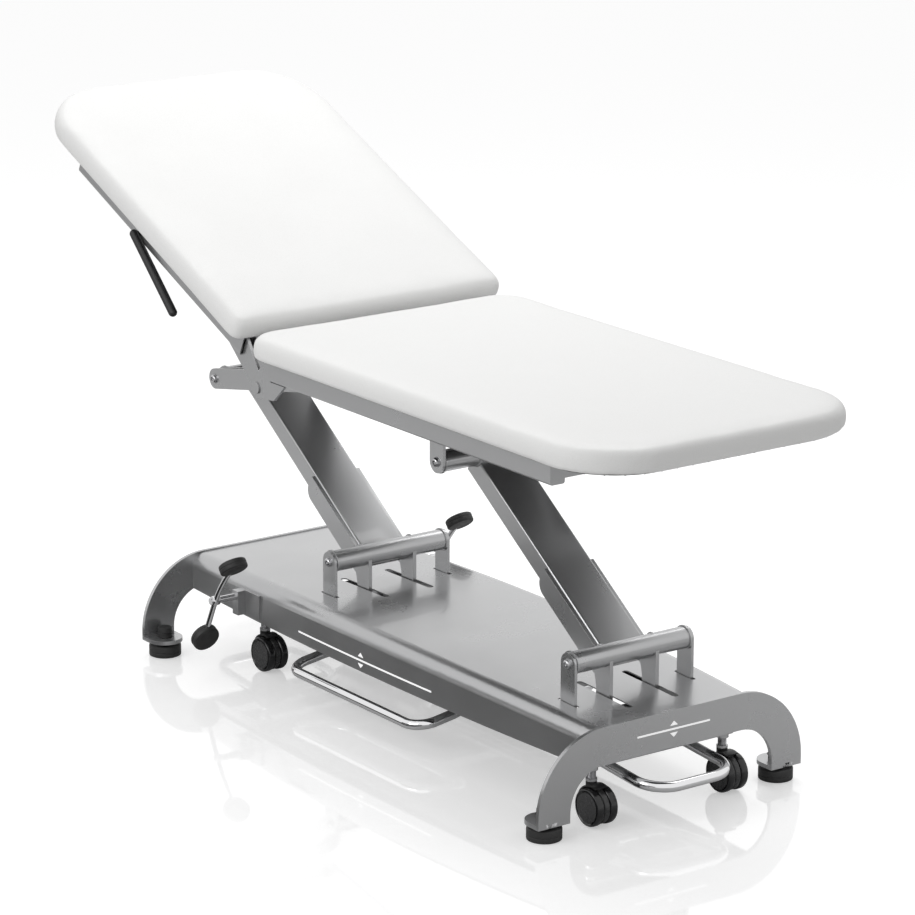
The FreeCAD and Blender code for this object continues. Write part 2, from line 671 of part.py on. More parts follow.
def foot_pivot_tabs():
    """Short tabs that hang from the beams and carry the foot arm."""
    x, z = top_pivot(1)
    outer = -BRACKET_OUTER
    inner = outer + BRACKET_PLATE
    radius = BRACKET_HALF_WIDTH + 1
    tab = box(x - radius, x + radius, outer, inner, z, BEAM_BOTTOM)
    tab = tab.fuse(disc_y(x, z, radius, outer, inner)).removeSplitter()
    tab = tab.cut(disc_y(x, z, PIVOT_BOLT_RADIUS, outer - 1, inner + 1))
    return [tab, mirrored(tab)]


def seat_rails():
    """Box rails under the long edges of the seat pad."""
    rail = box_tube(SEAT_RAIL_HEAD_X, SEAT_RAIL_FOOT_X - CAP_THICKNESS,
                    -RAIL_OUTER, -RAIL_OUTER + SEAT_RAIL_WIDTH,
                    PAD_BOTTOM - SEAT_RAIL_HEIGHT, PAD_BOTTOM, RAIL_WALL, RAIL_CORNER)
    return both_sides(rail)


def rail_cap(x0, x1, z0, z1):
    """Plastic plug that closes a rail: a plate and a tongue inside the tube."""
    y0, y1 = -RAIL_OUTER, -RAIL_OUTER + SEAT_RAIL_WIDTH
    plate = box(x0, x1, y0, y1, z0, z1)
    return both_sides(plate.makeFillet(RAIL_CORNER, [e for e in plate.Edges if abs(e.Length - (x1 - x0)) < 1e-6]))


def spring_anchor_x():
    """Place of the cross member that holds the gas spring, just short of the foot arm's pivot."""
    return top_pivot(1)[0] - SPRING_ANCHOR_SETBACK


def seat_subframe():
    """Two beams over the pivots and four cross members between the seat rails."""
    inner = BRACKET_OUTER - UPPER_BEAM_WIDTH
    beam = box_tube(UPPER_BEAM_HEAD_X, UPPER_BEAM_FOOT_X, inner, BRACKET_OUTER,
                    BEAM_BOTTOM, BEAM_BOTTOM + UPPER_BEAM_HEIGHT, RAIL_WALL, RAIL_CORNER)
    reach = RAIL_OUTER - SEAT_RAIL_WIDTH
    low = BEAM_BOTTOM + UPPER_BEAM_HEIGHT
    members = []
    anchor = spring_anchor_x()
    for x in MEMBER_PLACES + (anchor,):
        members.append(cross_box_tube(x, MEMBER_SIZE, reach, low, low + MEMBER_SIZE))
    ears = []
    for side in (-1, 1):
        y = (side * SPRING_RADIUS, side * (SPRING_RADIUS + CRANK_PLATE))
        ears.append(box(anchor - 16, anchor + 16, min(y), max(y), SPRING_AXIS_Z - 14, low))
    return fuse([beam, mirrored(beam)] + members + ears)


def hinge_gusset():
    """Plate from the head end of a seat rail down to the backrest hinge."""
    rail_x = SEAT_RAIL_HEAD_X
    rail_low = PAD_BOTTOM - SEAT_RAIL_HEIGHT
    radius = GUSSET_RADIUS
    top = PAD_BOTTOM - RAIL_CORNER - 1
    low = HINGE_Z - radius + 1
    outline = [(rail_x, top), (rail_x, rail_low), (rail_x + 2.4 * radius, rail_low),
               (rail_x + radius / 2, low + 5), (HINGE_X + radius / 2, low),
               (HINGE_X - radius / 2, HINGE_Z + 0.8 * radius), (rail_x - radius, top)]
    outer = -RAIL_OUTER
    plate = plate_xz(outline, outer, outer + GUSSET_PLATE)
    plate = plate.fuse(disc_y(HINGE_X, HINGE_Z, radius, outer, outer + GUSSET_PLATE))
    bore = disc_y(HINGE_X, HINGE_Z, HINGE_PIN_RADIUS + RUNNING, outer - 1, outer + GUSSET_PLATE + 1)
    plate = plate.removeSplitter().cut(bore)
    return both_sides(plate)


def pad(head_x, foot_x, head_corner, foot_corner):
    """Flat cushion with round plan corners and soft edges."""
    half, low, high = PAD_HALF_WIDTH, PAD_BOTTOM, PAD_BOTTOM + PAD_THICKNESS
    block = box(head_x, foot_x, -half, half, low, high)
    middle = (head_x + foot_x) / 2
    for corner, at_head in ((head_corner, True), (foot_corner, False)):
        edges = []
        for edge in upright_edges(block):
            x = edge.CenterOfMass.x
            if (x < middle) == at_head and abs(edge.Length - PAD_THICKNESS) < 1e-6 and (
                    abs(x - head_x) < 1e-6 or abs(x - foot_x) < 1e-6):
                edges.append(edge)
        block = block.makeFillet(corner, edges)
    top = [e for e in block.Edges if abs(e.BoundBox.ZMin - high) < 1e-6]
    block = block.makeFillet(PAD_TOP_EDGE, top)
    bottom = [e for e in block.Edges if abs(e.BoundBox.ZMax - low) < 1e-6]
    return block.makeFillet(PAD_BOTTOM_EDGE, bottom)


def raised(shape):
    """Turn a piece of the level backrest up to its resting angle."""
    turned = shape.copy()
    turned.rotate(V(HINGE_X, 0, HINGE_Z), V(0, 1, 0), BACKREST_ANGLE)
    return turned


def backrest_frame():
    """Side rails and cross bars of the backrest."""
    low, high = PAD_BOTTOM - BACKREST_RAIL_HEIGHT, PAD_BOTTOM
    rail = box_tube(BACKREST_RAIL_HEAD_X + CAP_THICKNESS, BACKREST_RAIL_FOOT_X, -RAIL_OUTER,
                    -RAIL_OUTER + SEAT_RAIL_WIDTH, low, high, RAIL_WALL, RAIL_CORNER)
    pin = disc_y(RELEASE_PIVOT_X, RELEASE_PIVOT_Z, CRANK_PIN_RADIUS + RUNNING, -RAIL_OUTER - 1,
                 -RAIL_OUTER + SEAT_RAIL_WIDTH / 2)
    reach = RAIL_OUTER - SEAT_RAIL_WIDTH
    bars = [cross_box_tube(x, BACKREST_BAR_WIDTH, reach, low, high) for x in BACKREST_BARS]
    return fuse([rail.cut(pin), mirrored(rail)] + bars)


def backrest_hinge():
    """Side plates with stub pins on the hinge line, and the crank for the gas spring."""
    outer = RAIL_OUTER - GUSSET_PLATE - 2 * SEAT_GAP
    inner = outer - GUSSET_PLATE
    rail_x = BACKREST_RAIL_FOOT_X
    low, high = PAD_BOTTOM - BACKREST_RAIL_HEIGHT, PAD_BOTTOM
    radius = GUSSET_RADIUS - 2
    outline = [(rail_x - HINGE_WEDGE, low), (rail_x, low), (rail_x, high - 1),
               (HINGE_X + radius / 2, HINGE_Z + 0.8 * radius), (HINGE_X - radius / 3, HINGE_Z - 0.9 * radius)]
    side = plate_xz(outline, -outer, -inner)
    side = side.fuse(disc_y(HINGE_X, HINGE_Z, radius, -outer, -inner))
    pin = disc_y(HINGE_X, HINGE_Z, HINGE_PIN_RADIUS, -RAIL_OUTER - 3, -inner)
    head = disc_y(HINGE_X, HINGE_Z, HINGE_PIN_RADIUS + 4, -RAIL_OUTER - 3, -RAIL_OUTER - SEAT_GAP)
    side = fuse([side, pin, head])
    return group([side, mirrored(side), backrest_crank()])


def crank_pin(turn_deg):
    """Crank pin place, with the crank this far from hanging straight down."""
    turn = math.radians(turn_deg)
    return HINGE_X + CRANK_LENGTH * math.sin(turn), HINGE_Z - CRANK_LENGTH * math.cos(turn)


def crank_pin_place():
    """Resting place of the crank pin that the gas spring pushes."""
    return crank_pin(CRANK_LEAD)


def backrest_crank():
    """Two plates from the first cross bar of the level backrest down to the crank pin."""
    x, z = crank_pin(CRANK_LEAD + BACKREST_ANGLE)
    bar_x = BACKREST_BARS[0]
    bar_low = PAD_BOTTOM - BACKREST_RAIL_HEIGHT
    square = V(bar_low - z, 0, x - bar_x)
    square.normalize()
    eye = CRANK_PIN_RADIUS + 7
    half = BACKREST_BAR_WIDTH / 2
    outline = [(bar_x - half, bar_low), (bar_x + half, bar_low), (x + square.x * eye, z + square.z * eye),
               (x - square.x * eye, z - square.z * eye)]
    inner, outer = CRANK_INNER, CRANK_INNER + CRANK_PLATE
    plate = plate_xz(outline, inner, outer)
    plate = plate.fuse(disc_y(x, z, eye, inner, outer)).removeSplitter()
    pin = disc_y(x, z, CRANK_PIN_RADIUS, -outer - 2, outer + 2)
    return fuse([plate, mirrored(plate), pin])


def gas_spring_cylinder():
    """Cylinder of the locking gas spring, held at its foot end by the anchor ears."""
    z = SPRING_AXIS_Z
    anchor = spring_anchor_x()
    body = rod(V(SPRING_FRONT_X, 0, z), V(anchor - 14, 0, z), SPRING_RADIUS)
    eye = disc_y(anchor, z, SPRING_RADIUS, -SPRING_RADIUS, SPRING_RADIUS)
    neck = box(anchor - 16, anchor, -SPRING_RADIUS / 2, SPRING_RADIUS / 2, z - 6, z + 6)
    bore = rod(V(SPRING_FRONT_X - 1, 0, z), V(anchor - 40, 0, z), SPRING_ROD_RADIUS + RUNNING)
    return fuse([body, eye, neck]).cut(bore)


def gas_spring_rod():
    """Piston rod with a slotted eye over the crank pin."""
    z = SPRING_AXIS_Z
    pin_x, pin_z = crank_pin_place()
    half = SPRING_EYE_HALF
    thick = CRANK_INNER - 2
    eye_x = pin_x + half
    shank = rod(V(eye_x, 0, z), V(SPRING_FRONT_X + SPRING_ENGAGEMENT, 0, z), SPRING_ROD_RADIUS)
    eye = box(pin_x - half, eye_x, -thick, thick, pin_z - 13, pin_z + 22)
    eye = eye.makeFillet(4, [e for e in eye.Edges if abs(e.Length - 2 * thick) < 1e-6])
    slot = box(pin_x - CRANK_PIN_RADIUS - 2.5, pin_x + CRANK_PIN_RADIUS + 2.5, -thick - 1, thick + 1,
               pin_z - CRANK_PIN_RADIUS - 1.5, pin_z + CRANK_PIN_RADIUS + 11)
    return fuse([shank, eye]).cut(slot)


def release_lever():
    """Round grip under the near edge of the backrest, on a pin into the rail."""
    turn = math.radians(RELEASE_DROP)
    y = -RAIL_OUTER - GRIP_RADIUS - 1
    start = V(RELEASE_PIVOT_X, y, RELEASE_PIVOT_Z)
    end = start + V(RELEASE_LENGTH * math.cos(turn), 0, -RELEASE_LENGTH * math.sin(turn))
    grip = rod(start, end, GRIP_RADIUS)
    balls = [Part.makeSphere(GRIP_RADIUS, start), Part.makeSphere(GRIP_RADIUS, end)]
    pin = disc_y(RELEASE_PIVOT_X, RELEASE_PIVOT_Z, CRANK_PIN_RADIUS, y, -RAIL_OUTER + 12)
    return fuse([grip] + balls + [pin])


def castor_centre(x):
    """Wheel axle of a castor whose stem is at this place along the table."""
    return x + CASTOR_TRAIL, CASTOR_LIFT + WHEEL_RADIUS


def castor_fork(x, y):
    """Hooded castor body: a web between the wheels, a hood over them and the swivel boss."""
    axle_x, axle_z = castor_centre(x)
    half_web = CASTOR_WEB / 2
    hood_r = WHEEL_RADIUS + 2
    half = half_web + 0.5 + WHEEL_WIDTH
    web = disc_y(axle_x, axle_z, WHEEL_RADIUS - 6, y - half_web, y + half_web)
    hood = half_web + HOOD_OVERLAP
    ring = disc_y(axle_x, axle_z, hood_r + 3, y - hood, y + hood)
    ring = ring.cut(disc_y(axle_x, axle_z, hood_r, y - hood - 1, y + hood + 1))
    far = hood_r + 10
    ring = ring.common(plate_xz([(axle_x, axle_z + 4), (axle_x - far, axle_z + 4), (axle_x - far, axle_z + far),
                                 (axle_x + 18, axle_z + far)], y - hood, y + hood))
    spine = plate_xz([(axle_x - hood_r + 2, axle_z + 6), (axle_x - hood_r + 2, axle_z + 22),
                      (axle_x - 14, axle_z + hood_r + 1), (axle_x + 10, axle_z + hood_r + 1),
                      (axle_x + 10, axle_z)], y - half_web, y + half_web)
    boss = disc_z(x, y, STEM_RADIUS + 3, axle_z + hood_r - 8, axle_z + hood_r + 6)
    boss = boss.cut(disc_y(axle_x, axle_z, hood_r, y - half, y + half))
    stem = disc_z(x, y, STEM_RADIUS, axle_z + hood_r + 6, CARRIAGE_BOTTOM + CARRIAGE_HEIGHT + 3)
    axle = disc_y(axle_x, axle_z, AXLE_RADIUS, y - half, y + half)
    return fuse([web, ring, spine, boss, stem, axle])


def castor_wheels(x, y):
    """Twin wheels: rounded tyres on dished hubs, bored for the axle."""
    axle_x, axle_z = castor_centre(x)
    width, radius = WHEEL_WIDTH, WHEEL_RADIUS
    outline = [(AXLE_RADIUS + RUNNING, 0), (radius - 3, 0), (radius, 4), (radius, width - 4),
               (radius - 3, width), (radius - 9, width), (radius - 9, width - 2),
               (AXLE_RADIUS + RUNNING, width - 2)]
    wire = Part.makePolygon([V(r, w, 0) for r, w in outline] + [V(outline[0][0], outline[0][1], 0)])
    wheel = Part.Face(wire).revolve(V(0, 0, 0), V(0, 1, 0), 360)
    far = wheel.copy()
    far.translate(V(axle_x, y + CASTOR_WEB / 2 + 0.5, axle_z))
    near = mirrored(wheel)
    near.translate(V(axle_x, y - CASTOR_WEB / 2 - 0.5, axle_z))
    return group([near, far])


def castor_carriage(x):
    """Cross bar that carries two castors, with two guide posts up into the frame."""
    half = CARRIAGE_WIDTH / 2
    top = CARRIAGE_BOTTOM + CARRIAGE_HEIGHT
    reach = CASTOR_Y + 16
    bar = box(x - half, x + half, -reach, reach, CARRIAGE_BOTTOM, top)
    bar = bar.makeFillet(5, upright_edges(bar))
    parts = [bar]
    bores = []
    for side in (-1, 1):
        parts.append(disc_z(x, side * GUIDE_Y, GUIDE_RADIUS, top, GUIDE_TOP))
        parts.append(disc_z(x, side * CASTOR_Y, STEM_COLLAR_RADIUS, CARRIAGE_BOTTOM - 8, CARRIAGE_BOTTOM))
        bores.append(disc_z(x, side * CASTOR_Y, STEM_RADIUS + RUNNING, CARRIAGE_BOTTOM - 10, top + 1))
    return fuse(parts).cut(bores)


def pedal_points():
    """Upper tread centre, shaft and lower tread centre of one pedal lever."""
    upper = V(PEDAL_X + PEDAL_UPPER[0], 0, PEDAL_Z + PEDAL_UPPER[1])
    lower = V(PEDAL_X + PEDAL_LOWER[0], 0, PEDAL_Z + PEDAL_LOWER[1])
    return upper, V(PEDAL_X, 0, PEDAL_Z), lower


def pedal_directions():
    """Direction of the lever below and above the shaft."""
    upper, middle, lower = pedal_points()
    below, above = middle - lower, upper - middle
    below.normalize()
    above.normalize()
    return below, above


def pedal_bar():
    """Round bar bent at the shaft that ends inside both treads."""
    upper, middle, lower = pedal_points()
    below, above = pedal_directions()
    reach = TREAD_RADIUS - TREAD_SOCKET
    first, last = lower + below * reach, upper - above * reach
    start, end = middle - below * PEDAL_BEND, middle + above * PEDAL_BEND
    chord = (start + end) * 0.5
    half_cos = math.sqrt((1 + below.dot(above)) / 2)
    bend = chord + (middle - chord) * (half_cos / (1 + half_cos))
    path = Part.Wire([Part.LineSegment(first, start).toShape(), Part.Arc(start, bend, end).toShape(),
                      Part.LineSegment(end, last).toShape()])
    section = Part.Wire([Part.makeCircle(PEDAL_BAR_RADIUS, first, below)])
    return path.makePipeShell([section], True, False)


def pedal_lever():
    """Bent bar on the near side with the hub that fixes it to the shaft."""
    hub = disc_y(PEDAL_X, PEDAL_Z, PEDAL_SHAFT_RADIUS + 8, -8, 8)
    lever = fuse([pedal_bar(), hub]).cut(disc_y(PEDAL_X, PEDAL_Z, PEDAL_SHAFT_RADIUS, -9, 9))
    lever.translate(V(0, -PEDAL_LEVER_Y, 0))
    return lever


def pedal_treads():
    """Four round rubber treads, each with a socket for the end of its bar."""
    upper, middle, lower = pedal_points()
    below, above = pedal_directions()
    bar = pedal_bar()
    pair = []
    for point, run in ((upper, above), (lower, below)):
        facing = V(-run.z, 0, run.x)
        half = facing * (TREAD_THICKNESS / 2)
        disc = rod(point - half, point + half, TREAD_RADIUS)
        rims = [e for e in disc.Edges if e.Length > TREAD_RADIUS * 6]
        disc = disc.makeChamfer(TREAD_EDGE, rims).cut(bar)
        disc.translate(V(0, -PEDAL_LEVER_Y, 0))
        pair += [disc, mirrored(disc)]
    return group(pair)


def pedal_bracket():
    """Plated bracket on the side of the cover that steadies the pedal shaft."""
    x0 = PEDAL_X - 10
    x1 = x0 + PEDAL_BRACKET_WIDTH
    z1 = PEDAL_Z + 12
    z0 = z1 - PEDAL_BRACKET_HEIGHT
    y_cover = -cover_half_width(x0)
    plate = box(x0, x1, y_cover - 8, y_cover + 3, z0, z1)
    ear = box(x0, x0 + 20, y_cover - 26, y_cover - 8, z0, z1)
    body = fuse([plate, ear]).cut(bulged_block(0))
    hole = disc_y(PEDAL_X, PEDAL_Z, PEDAL_SHAFT_RADIUS + RUNNING, y_cover - 30, y_cover + 10)
    return both_sides(body.cut(hole))


def cover_half_width(x):
    """Half width of the cover at a place along the table."""
    reach = BASE_HALF - END_PLATE
    bulge = COVER_HALF_MID - COVER_HALF_END
    radius = (reach * reach + bulge * bulge) / (2 * bulge)
    return COVER_HALF_MID - radius + math.sqrt(radius * radius - x * x)


def hoop(x0, x1, y0, y1, z, r):
    """Closed round-cornered ring of chrome bar lying level."""
    slant = r * (1 - math.sqrt(0.5))
    points = [V(x0 + r, y0, z), V(x1 - r, y0, z), V(x1, y0 + r, z), V(x1, y1 - r, z),
              V(x1 - r, y1, z), V(x0 + r, y1, z), V(x0, y1 - r, z), V(x0, y0 + r, z)]
    middles = [V(x1 - slant, y0 + slant, z), V(x1 - slant, y1 - slant, z),
               V(x0 + slant, y1 - slant, z), V(x0 + slant, y0 + slant, z)]
    edges = []
    for turn in range(4):
        start, end = points[2 * turn], points[2 * turn + 1]
        following = points[(2 * turn + 2) % 8]
        edges.append(Part.LineSegment(start, end).toShape())
        edges.append(Part.Arc(end, middles[turn], following).toShape())
    path = Part.Wire(edges)
    section = Part.Wire([Part.makeCircle(HOOP_RADIUS, points[0], V(1, 0, 0))])
    return path.makePipeShell([section], True, False)


def side_hanger(x):
    """Plate from a frame rail down to the inner run of a side hoop."""
    y = SIDE_HOOP_Y[0]
    z = SIDE_HOOP_Z
    rail_out = RAIL_INNER + RAIL_WIDTH
    points = [(-rail_out + 4, RAIL_BOTTOM), (-RAIL_INNER - 4, RAIL_BOTTOM), (-y + HANGER_HALF, z + 14),
              (-y + HANGER_HALF, z - 14), (-y - HANGER_HALF, z - 14), (-y - HANGER_HALF, z + 14)]
    plate = plate_yz(points, x - HANGER_PLATE / 2, x + HANGER_PLATE / 2)
    return plate.cut(rod(V(x - 10, -y, z), V(x + 10, -y, z), HOOP_RADIUS + RUNNING))


def end_hanger(y):
    """Plate from a frame crossbar down to the inner run of the foot-end hoop."""
    x = END_HOOP_X[0]
    z = END_HOOP_Z
    bar_x = CROSSBAR_PLACES[-1]
    half = HANGER_HALF
    points = [(bar_x - half, RAIL_BOTTOM), (bar_x + half, RAIL_BOTTOM), (x + half, z + 14),
              (x + half, z - 14), (x - half, z - 14), (x - half, z + 14)]
    plate = plate_xz(points, y - HANGER_PLATE / 2, y + HANGER_PLATE / 2)
    return plate.cut(disc_y(x, z, HOOP_RADIUS + RUNNING, y - 10, y + 10))


def hoop_hangers():
    """All hanger plates of the foot bars."""
    plates = []
    for x in (SIDE_HOOP_X[0] + 60, SIDE_HOOP_X[1] - 60):
        plates += [side_hanger(x), mirrored(side_hanger(x))]
    for y in (-HANGER_SPREAD, HANGER_SPREAD):
        plates += [end_hanger(y), ends_mirrored(end_hanger(y))]
    return group(plates)


def control_box():
    """Closed box with the lift's control unit, on the inside of a frame rail."""
    low = RAIL_BOTTOM + CROSSBAR_HEIGHT
    start = CROSSBAR_PLACES[2] - CROSSBAR_WIDTH / 2
    unit = box(start, start + CONTROL_LENGTH, RAIL_INNER - CONTROL_WIDTH, RAIL_INNER, low, low + CONTROL_HEIGHT)
    return unit.makeFillet(4, upright_edges(unit))


def build():
    """Make every node of the table."""
    foot_plate = end_plate()
    nodes["end_plate_foot"] = foot_plate
    nodes["end_plate_head"] = ends_mirrored(foot_plate)
    nodes["base_cover"] = base_cover()
    nodes["base_frame"] = base_frame()
    lower = (LOWER_PIVOT_X, LOWER_PIVOT_X + PIVOT_SPACING)
    plates = []
    bolts = []
    tip = -BRACKET_OUTER + BRACKET_PLATE + PLUG_LENGTH
    for x in lower:
        plates += [bracket_plate(x), mirrored(bracket_plate(x))]
        bolt = pivot_bolt(x, LOWER_PIVOT_Z, BRACKET_OUTER, tip)
        bolts += [bolt, mirrored(bolt)]
    nodes["pivot_brackets"] = group(plates)
    nodes["lower_pivot_bolts"] = group(bolts)
    nodes["control_box"] = control_box()
    nodes["pedal_brackets"] = pedal_bracket()
    nodes["hoop_hangers"] = hoop_hangers()
    nodes["actuator_housing"] = actuator_housing()

    foot_x = BASE_HALF - FOOT_INSET
    foot_y = BASE_HALF_WIDTH - LEG_WIDTH / 2
    for end, x in (("head", -foot_x), ("foot", foot_x)):
        for side, y in (("near", -foot_y), ("far", foot_y)):
            nodes["levelling_foot_%s_%s" % (end, side)] = levelling_foot(x, y)

    for end, x in (("head", CASTOR_HEAD_X), ("foot", CASTOR_FOOT_X)):
        nodes["castor_carriage_%s" % end] = castor_carriage(x)
        for side, y in (("near", -CASTOR_Y), ("far", CASTOR_Y)):
            nodes["castor_fork_%s_%s" % (end, side)] = castor_fork(x, y)
            nodes["castor_wheels_%s_%s" % (end, side)] = castor_wheels(x, y)

    shaft_end = PEDAL_LEVER_Y + 10
    nodes["pedal_shaft"] = disc_y(PEDAL_X, PEDAL_Z, PEDAL_SHAFT_RADIUS, -shaft_end, shaft_end)
    lever = pedal_lever()
    nodes["pedal_lever_near"] = lever
    nodes["pedal_lever_far"] = mirrored(lever)
    nodes["pedal_treads"] = pedal_treads()

    side_hoop = hoop(SIDE_HOOP_X[0], SIDE_HOOP_X[1], -SIDE_HOOP_Y[1], -SIDE_HOOP_Y[0], SIDE_HOOP_Z,
                     SIDE_HOOP_CORNER)
    side_hoop.rotate(V(0, -SIDE_HOOP_Y[0], SIDE_HOOP_Z), V(1, 0, 0), SIDE_HOOP_DIP)
    end_hoop = hoop(END_HOOP_X[0], END_HOOP_X[1], -END_HOOP_HALF, END_HOOP_HALF, END_HOOP_Z, END_HOOP_CORNER)
    end_hoop.rotate(V(END_HOOP_X[0], 0, END_HOOP_Z), V(0, 1, 0), END_HOOP_DIP)
    nodes["foot_bar_near"] = side_hoop
    nodes["foot_bar_far"] = mirrored(side_hoop)
    nodes["foot_bar_foot"] = end_hoop
    nodes["foot_bar_head"] = ends_mirrored(end_hoop)
    nodes["actuator_rod"] = actuator_rod()
    nodes["lift_link"] = lift_link()

    half_tubes = {"head": (TOP_INNER_PLATE - BRACKET_PLATE, RUNNING),
                  "foot": (BRACKET_OUTER - BRACKET_PLATE, OPEN_PIVOT)}
    for step, (end, x) in enumerate(zip(("head", "foot"), lower)):
        half = BRACKET_OUTER - BRACKET_PLATE - SEAT_GAP
        top_half, top_gap = half_tubes[end]
        top_x, top_z = top_pivot(step)
        nodes["%s_cross_tube" % end] = cross_tube(x, LOWER_PIVOT_Z, half, RUNNING)
        nodes["%s_arm_beam" % end] = arm_beam(x)
        nodes["%s_arm_cheeks" % end] = arm_cheeks(x)
        nodes["%s_lever_plates" % end] = lever_plates(x)
        nodes["%s_top_tube" % end] = cross_tube(top_x, top_z, top_half - SEAT_GAP, top_gap)

    nodes["seat_rails"] = seat_rails()
    nodes["seat_rail_caps"] = rail_cap(SEAT_RAIL_FOOT_X - CAP_THICKNESS, SEAT_RAIL_FOOT_X,
                                       PAD_BOTTOM - SEAT_RAIL_HEIGHT, PAD_BOTTOM)
    nodes["seat_subframe"] = seat_subframe()
    nodes["top_pivot_plates"] = group(head_pivot_plates() + foot_pivot_tabs())
    top_bolts = []
    for step, (end, x) in enumerate(zip(("head", "foot"), lower)):
        top_x, top_z = top_pivot(step)
        top_tip = -half_tubes[end][0] + PLUG_LENGTH
        bolt = pivot_bolt(top_x, top_z, BRACKET_OUTER, top_tip)
        top_bolts += [bolt, mirrored(bolt)]
    nodes["top_pivot_bolts"] = group(top_bolts)
    nodes["hinge_gussets"] = hinge_gusset()
    nodes["seat_pad"] = pad(SEAT_HEAD_X, SEAT_FOOT_X, SEAT_HINGE_CORNER, PAD_CORNER)
    nodes["gas_spring_cylinder"] = gas_spring_cylinder()
    nodes["gas_spring_rod"] = gas_spring_rod()

    nodes["backrest_frame"] = raised(backrest_frame())
    nodes["backrest_hinge"] = raised(backrest_hinge())
    caps = rail_cap(BACKREST_RAIL_HEAD_X, BACKREST_RAIL_HEAD_X + CAP_THICKNESS,
                    PAD_BOTTOM - BACKREST_RAIL_HEIGHT, PAD_BOTTOM)
    nodes["backrest_rail_caps"] = raised(caps)
    backrest = pad(BACKREST_FOOT_X - BACKREST_LENGTH, BACKREST_FOOT_X, PAD_CORNER,
                   BACKREST_HINGE_CORNER)
    nodes["backrest_pad"] = raised(backrest)
    nodes["release_lever"] = raised(release_lever())


def write_parts():
    """Centre the table on its overall length and write one file for each node."""
    os.makedirs("parts", exist_ok=True)
    low = min(shape.BoundBox.XMin for shape in nodes.values())
    high = max(shape.BoundBox.XMax for shape in nodes.values())
    shift = -(low + high) / 2
    for name, shape in nodes.items():
        placed = shape.copy()
        placed.translate(V(shift, 0, 0))
        placed.exportStep("parts/%s.step" % name)
    print("nodes %d, moved along X by %.4f" % (len(nodes), shift))
    return shift


build()
shift_x = write_parts()
top_head = top_pivot(0)
pin_rest = crank_pin_place()
for label, x, z in (("lower pivot head", LOWER_PIVOT_X, LOWER_PIVOT_Z),
                    ("lower pivot foot", LOWER_PIVOT_X + PIVOT_SPACING, LOWER_PIVOT_Z),
                    ("top pivot head", top_head[0], top_head[1]),
                    ("link pin head", LOWER_PIVOT_X, actuator_axis_z()),
                    ("backrest hinge", HINGE_X, HINGE_Z),
                    ("crank pin", pin_rest[0], pin_rest[1]),
                    ("pedal shaft", PEDAL_X, PEDAL_Z)):
    print("%s: x %.3f z %.3f" % (label, x + shift_x, z))
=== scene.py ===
# %% [markdown]
# # An examination table, from its frame to its finish
# The table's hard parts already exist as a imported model. This lesson loads that model
# as a fixed frame and adds what a workshop adds last: cushions that are really stuffed,
# paint, chrome and rubber that look like themselves, weld beads, marks and small fittings.
# Every size is in metres. X runs to the foot end, Y runs across, Z is up from the floor.

# %% Load the frame
import bpy
import bmesh
import json
import math
from mathutils import Matrix, Vector


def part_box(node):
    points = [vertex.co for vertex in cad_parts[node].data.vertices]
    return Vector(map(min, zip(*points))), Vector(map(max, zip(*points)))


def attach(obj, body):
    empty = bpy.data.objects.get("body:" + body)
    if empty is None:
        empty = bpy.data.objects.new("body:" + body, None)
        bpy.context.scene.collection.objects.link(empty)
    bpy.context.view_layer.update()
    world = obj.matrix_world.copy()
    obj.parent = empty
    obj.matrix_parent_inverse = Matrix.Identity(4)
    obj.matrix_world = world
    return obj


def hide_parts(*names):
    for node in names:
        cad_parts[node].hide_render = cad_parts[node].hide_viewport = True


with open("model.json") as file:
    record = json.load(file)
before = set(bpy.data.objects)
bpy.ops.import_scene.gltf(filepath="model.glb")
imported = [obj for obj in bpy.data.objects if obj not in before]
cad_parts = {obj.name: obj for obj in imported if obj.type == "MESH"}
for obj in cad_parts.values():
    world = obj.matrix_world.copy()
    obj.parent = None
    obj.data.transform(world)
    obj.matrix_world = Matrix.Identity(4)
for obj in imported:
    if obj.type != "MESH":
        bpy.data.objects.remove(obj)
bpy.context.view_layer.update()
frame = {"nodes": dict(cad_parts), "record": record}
PLATE_FACE = 0.677
cover_low, cover_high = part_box("base_cover")
SHIFT_X = (cover_low[0] + cover_high[0]) / 2
print("middle of the base at x =", round(SHIFT_X, 4))

# %% [markdown]
# ## The camera
# The photograph was taken with a long lens from about seven and a half metres, above the
# cushions. A long lens keeps the two long edges nearly parallel. The place, the turn and
# the focal length below were solved from the table's own straight edges, so a render
# can be laid over the photograph, which is square.

# %% Place the camera
view = bpy.data.cameras.new("view")
view.sensor_width = 36.0
view.lens = 154.45
view.shift_x = -0.0025
view.shift_y = -0.0009
view.clip_end = 60.0
camera = bpy.data.objects.new("view", view)
camera.location = (5.93211 + SHIFT_X, -4.30033, 2.55726)
camera.rotation_euler = [math.radians(a) for a in (74.4944, -0.1603, 54.0664)]
bpy.context.scene.collection.objects.link(camera)
bpy.context.scene.camera = camera
bpy.context.scene.view_settings.view_transform = "Standard"
print("camera is", round(camera.location.length, 2), "m from the table's origin")

# %% [markdown]
# ## Helpers for pieces
# Most pieces end the same way: a mesh becomes an object, gets its material, and is told
# which body carries it. One helper does that, so
# that no piece is forgotten.


# %% Helpers that finish a piece
def finish_piece(piece, body, material, replaced=()):
    """Give a piece its material and its body, and hide the CAD nodes it stands for."""
    if material is not None:
        piece.data.materials.clear()
        piece.data.materials.append(material)
    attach(piece, body)
    if replaced:
        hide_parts(*replaced)
    return piece


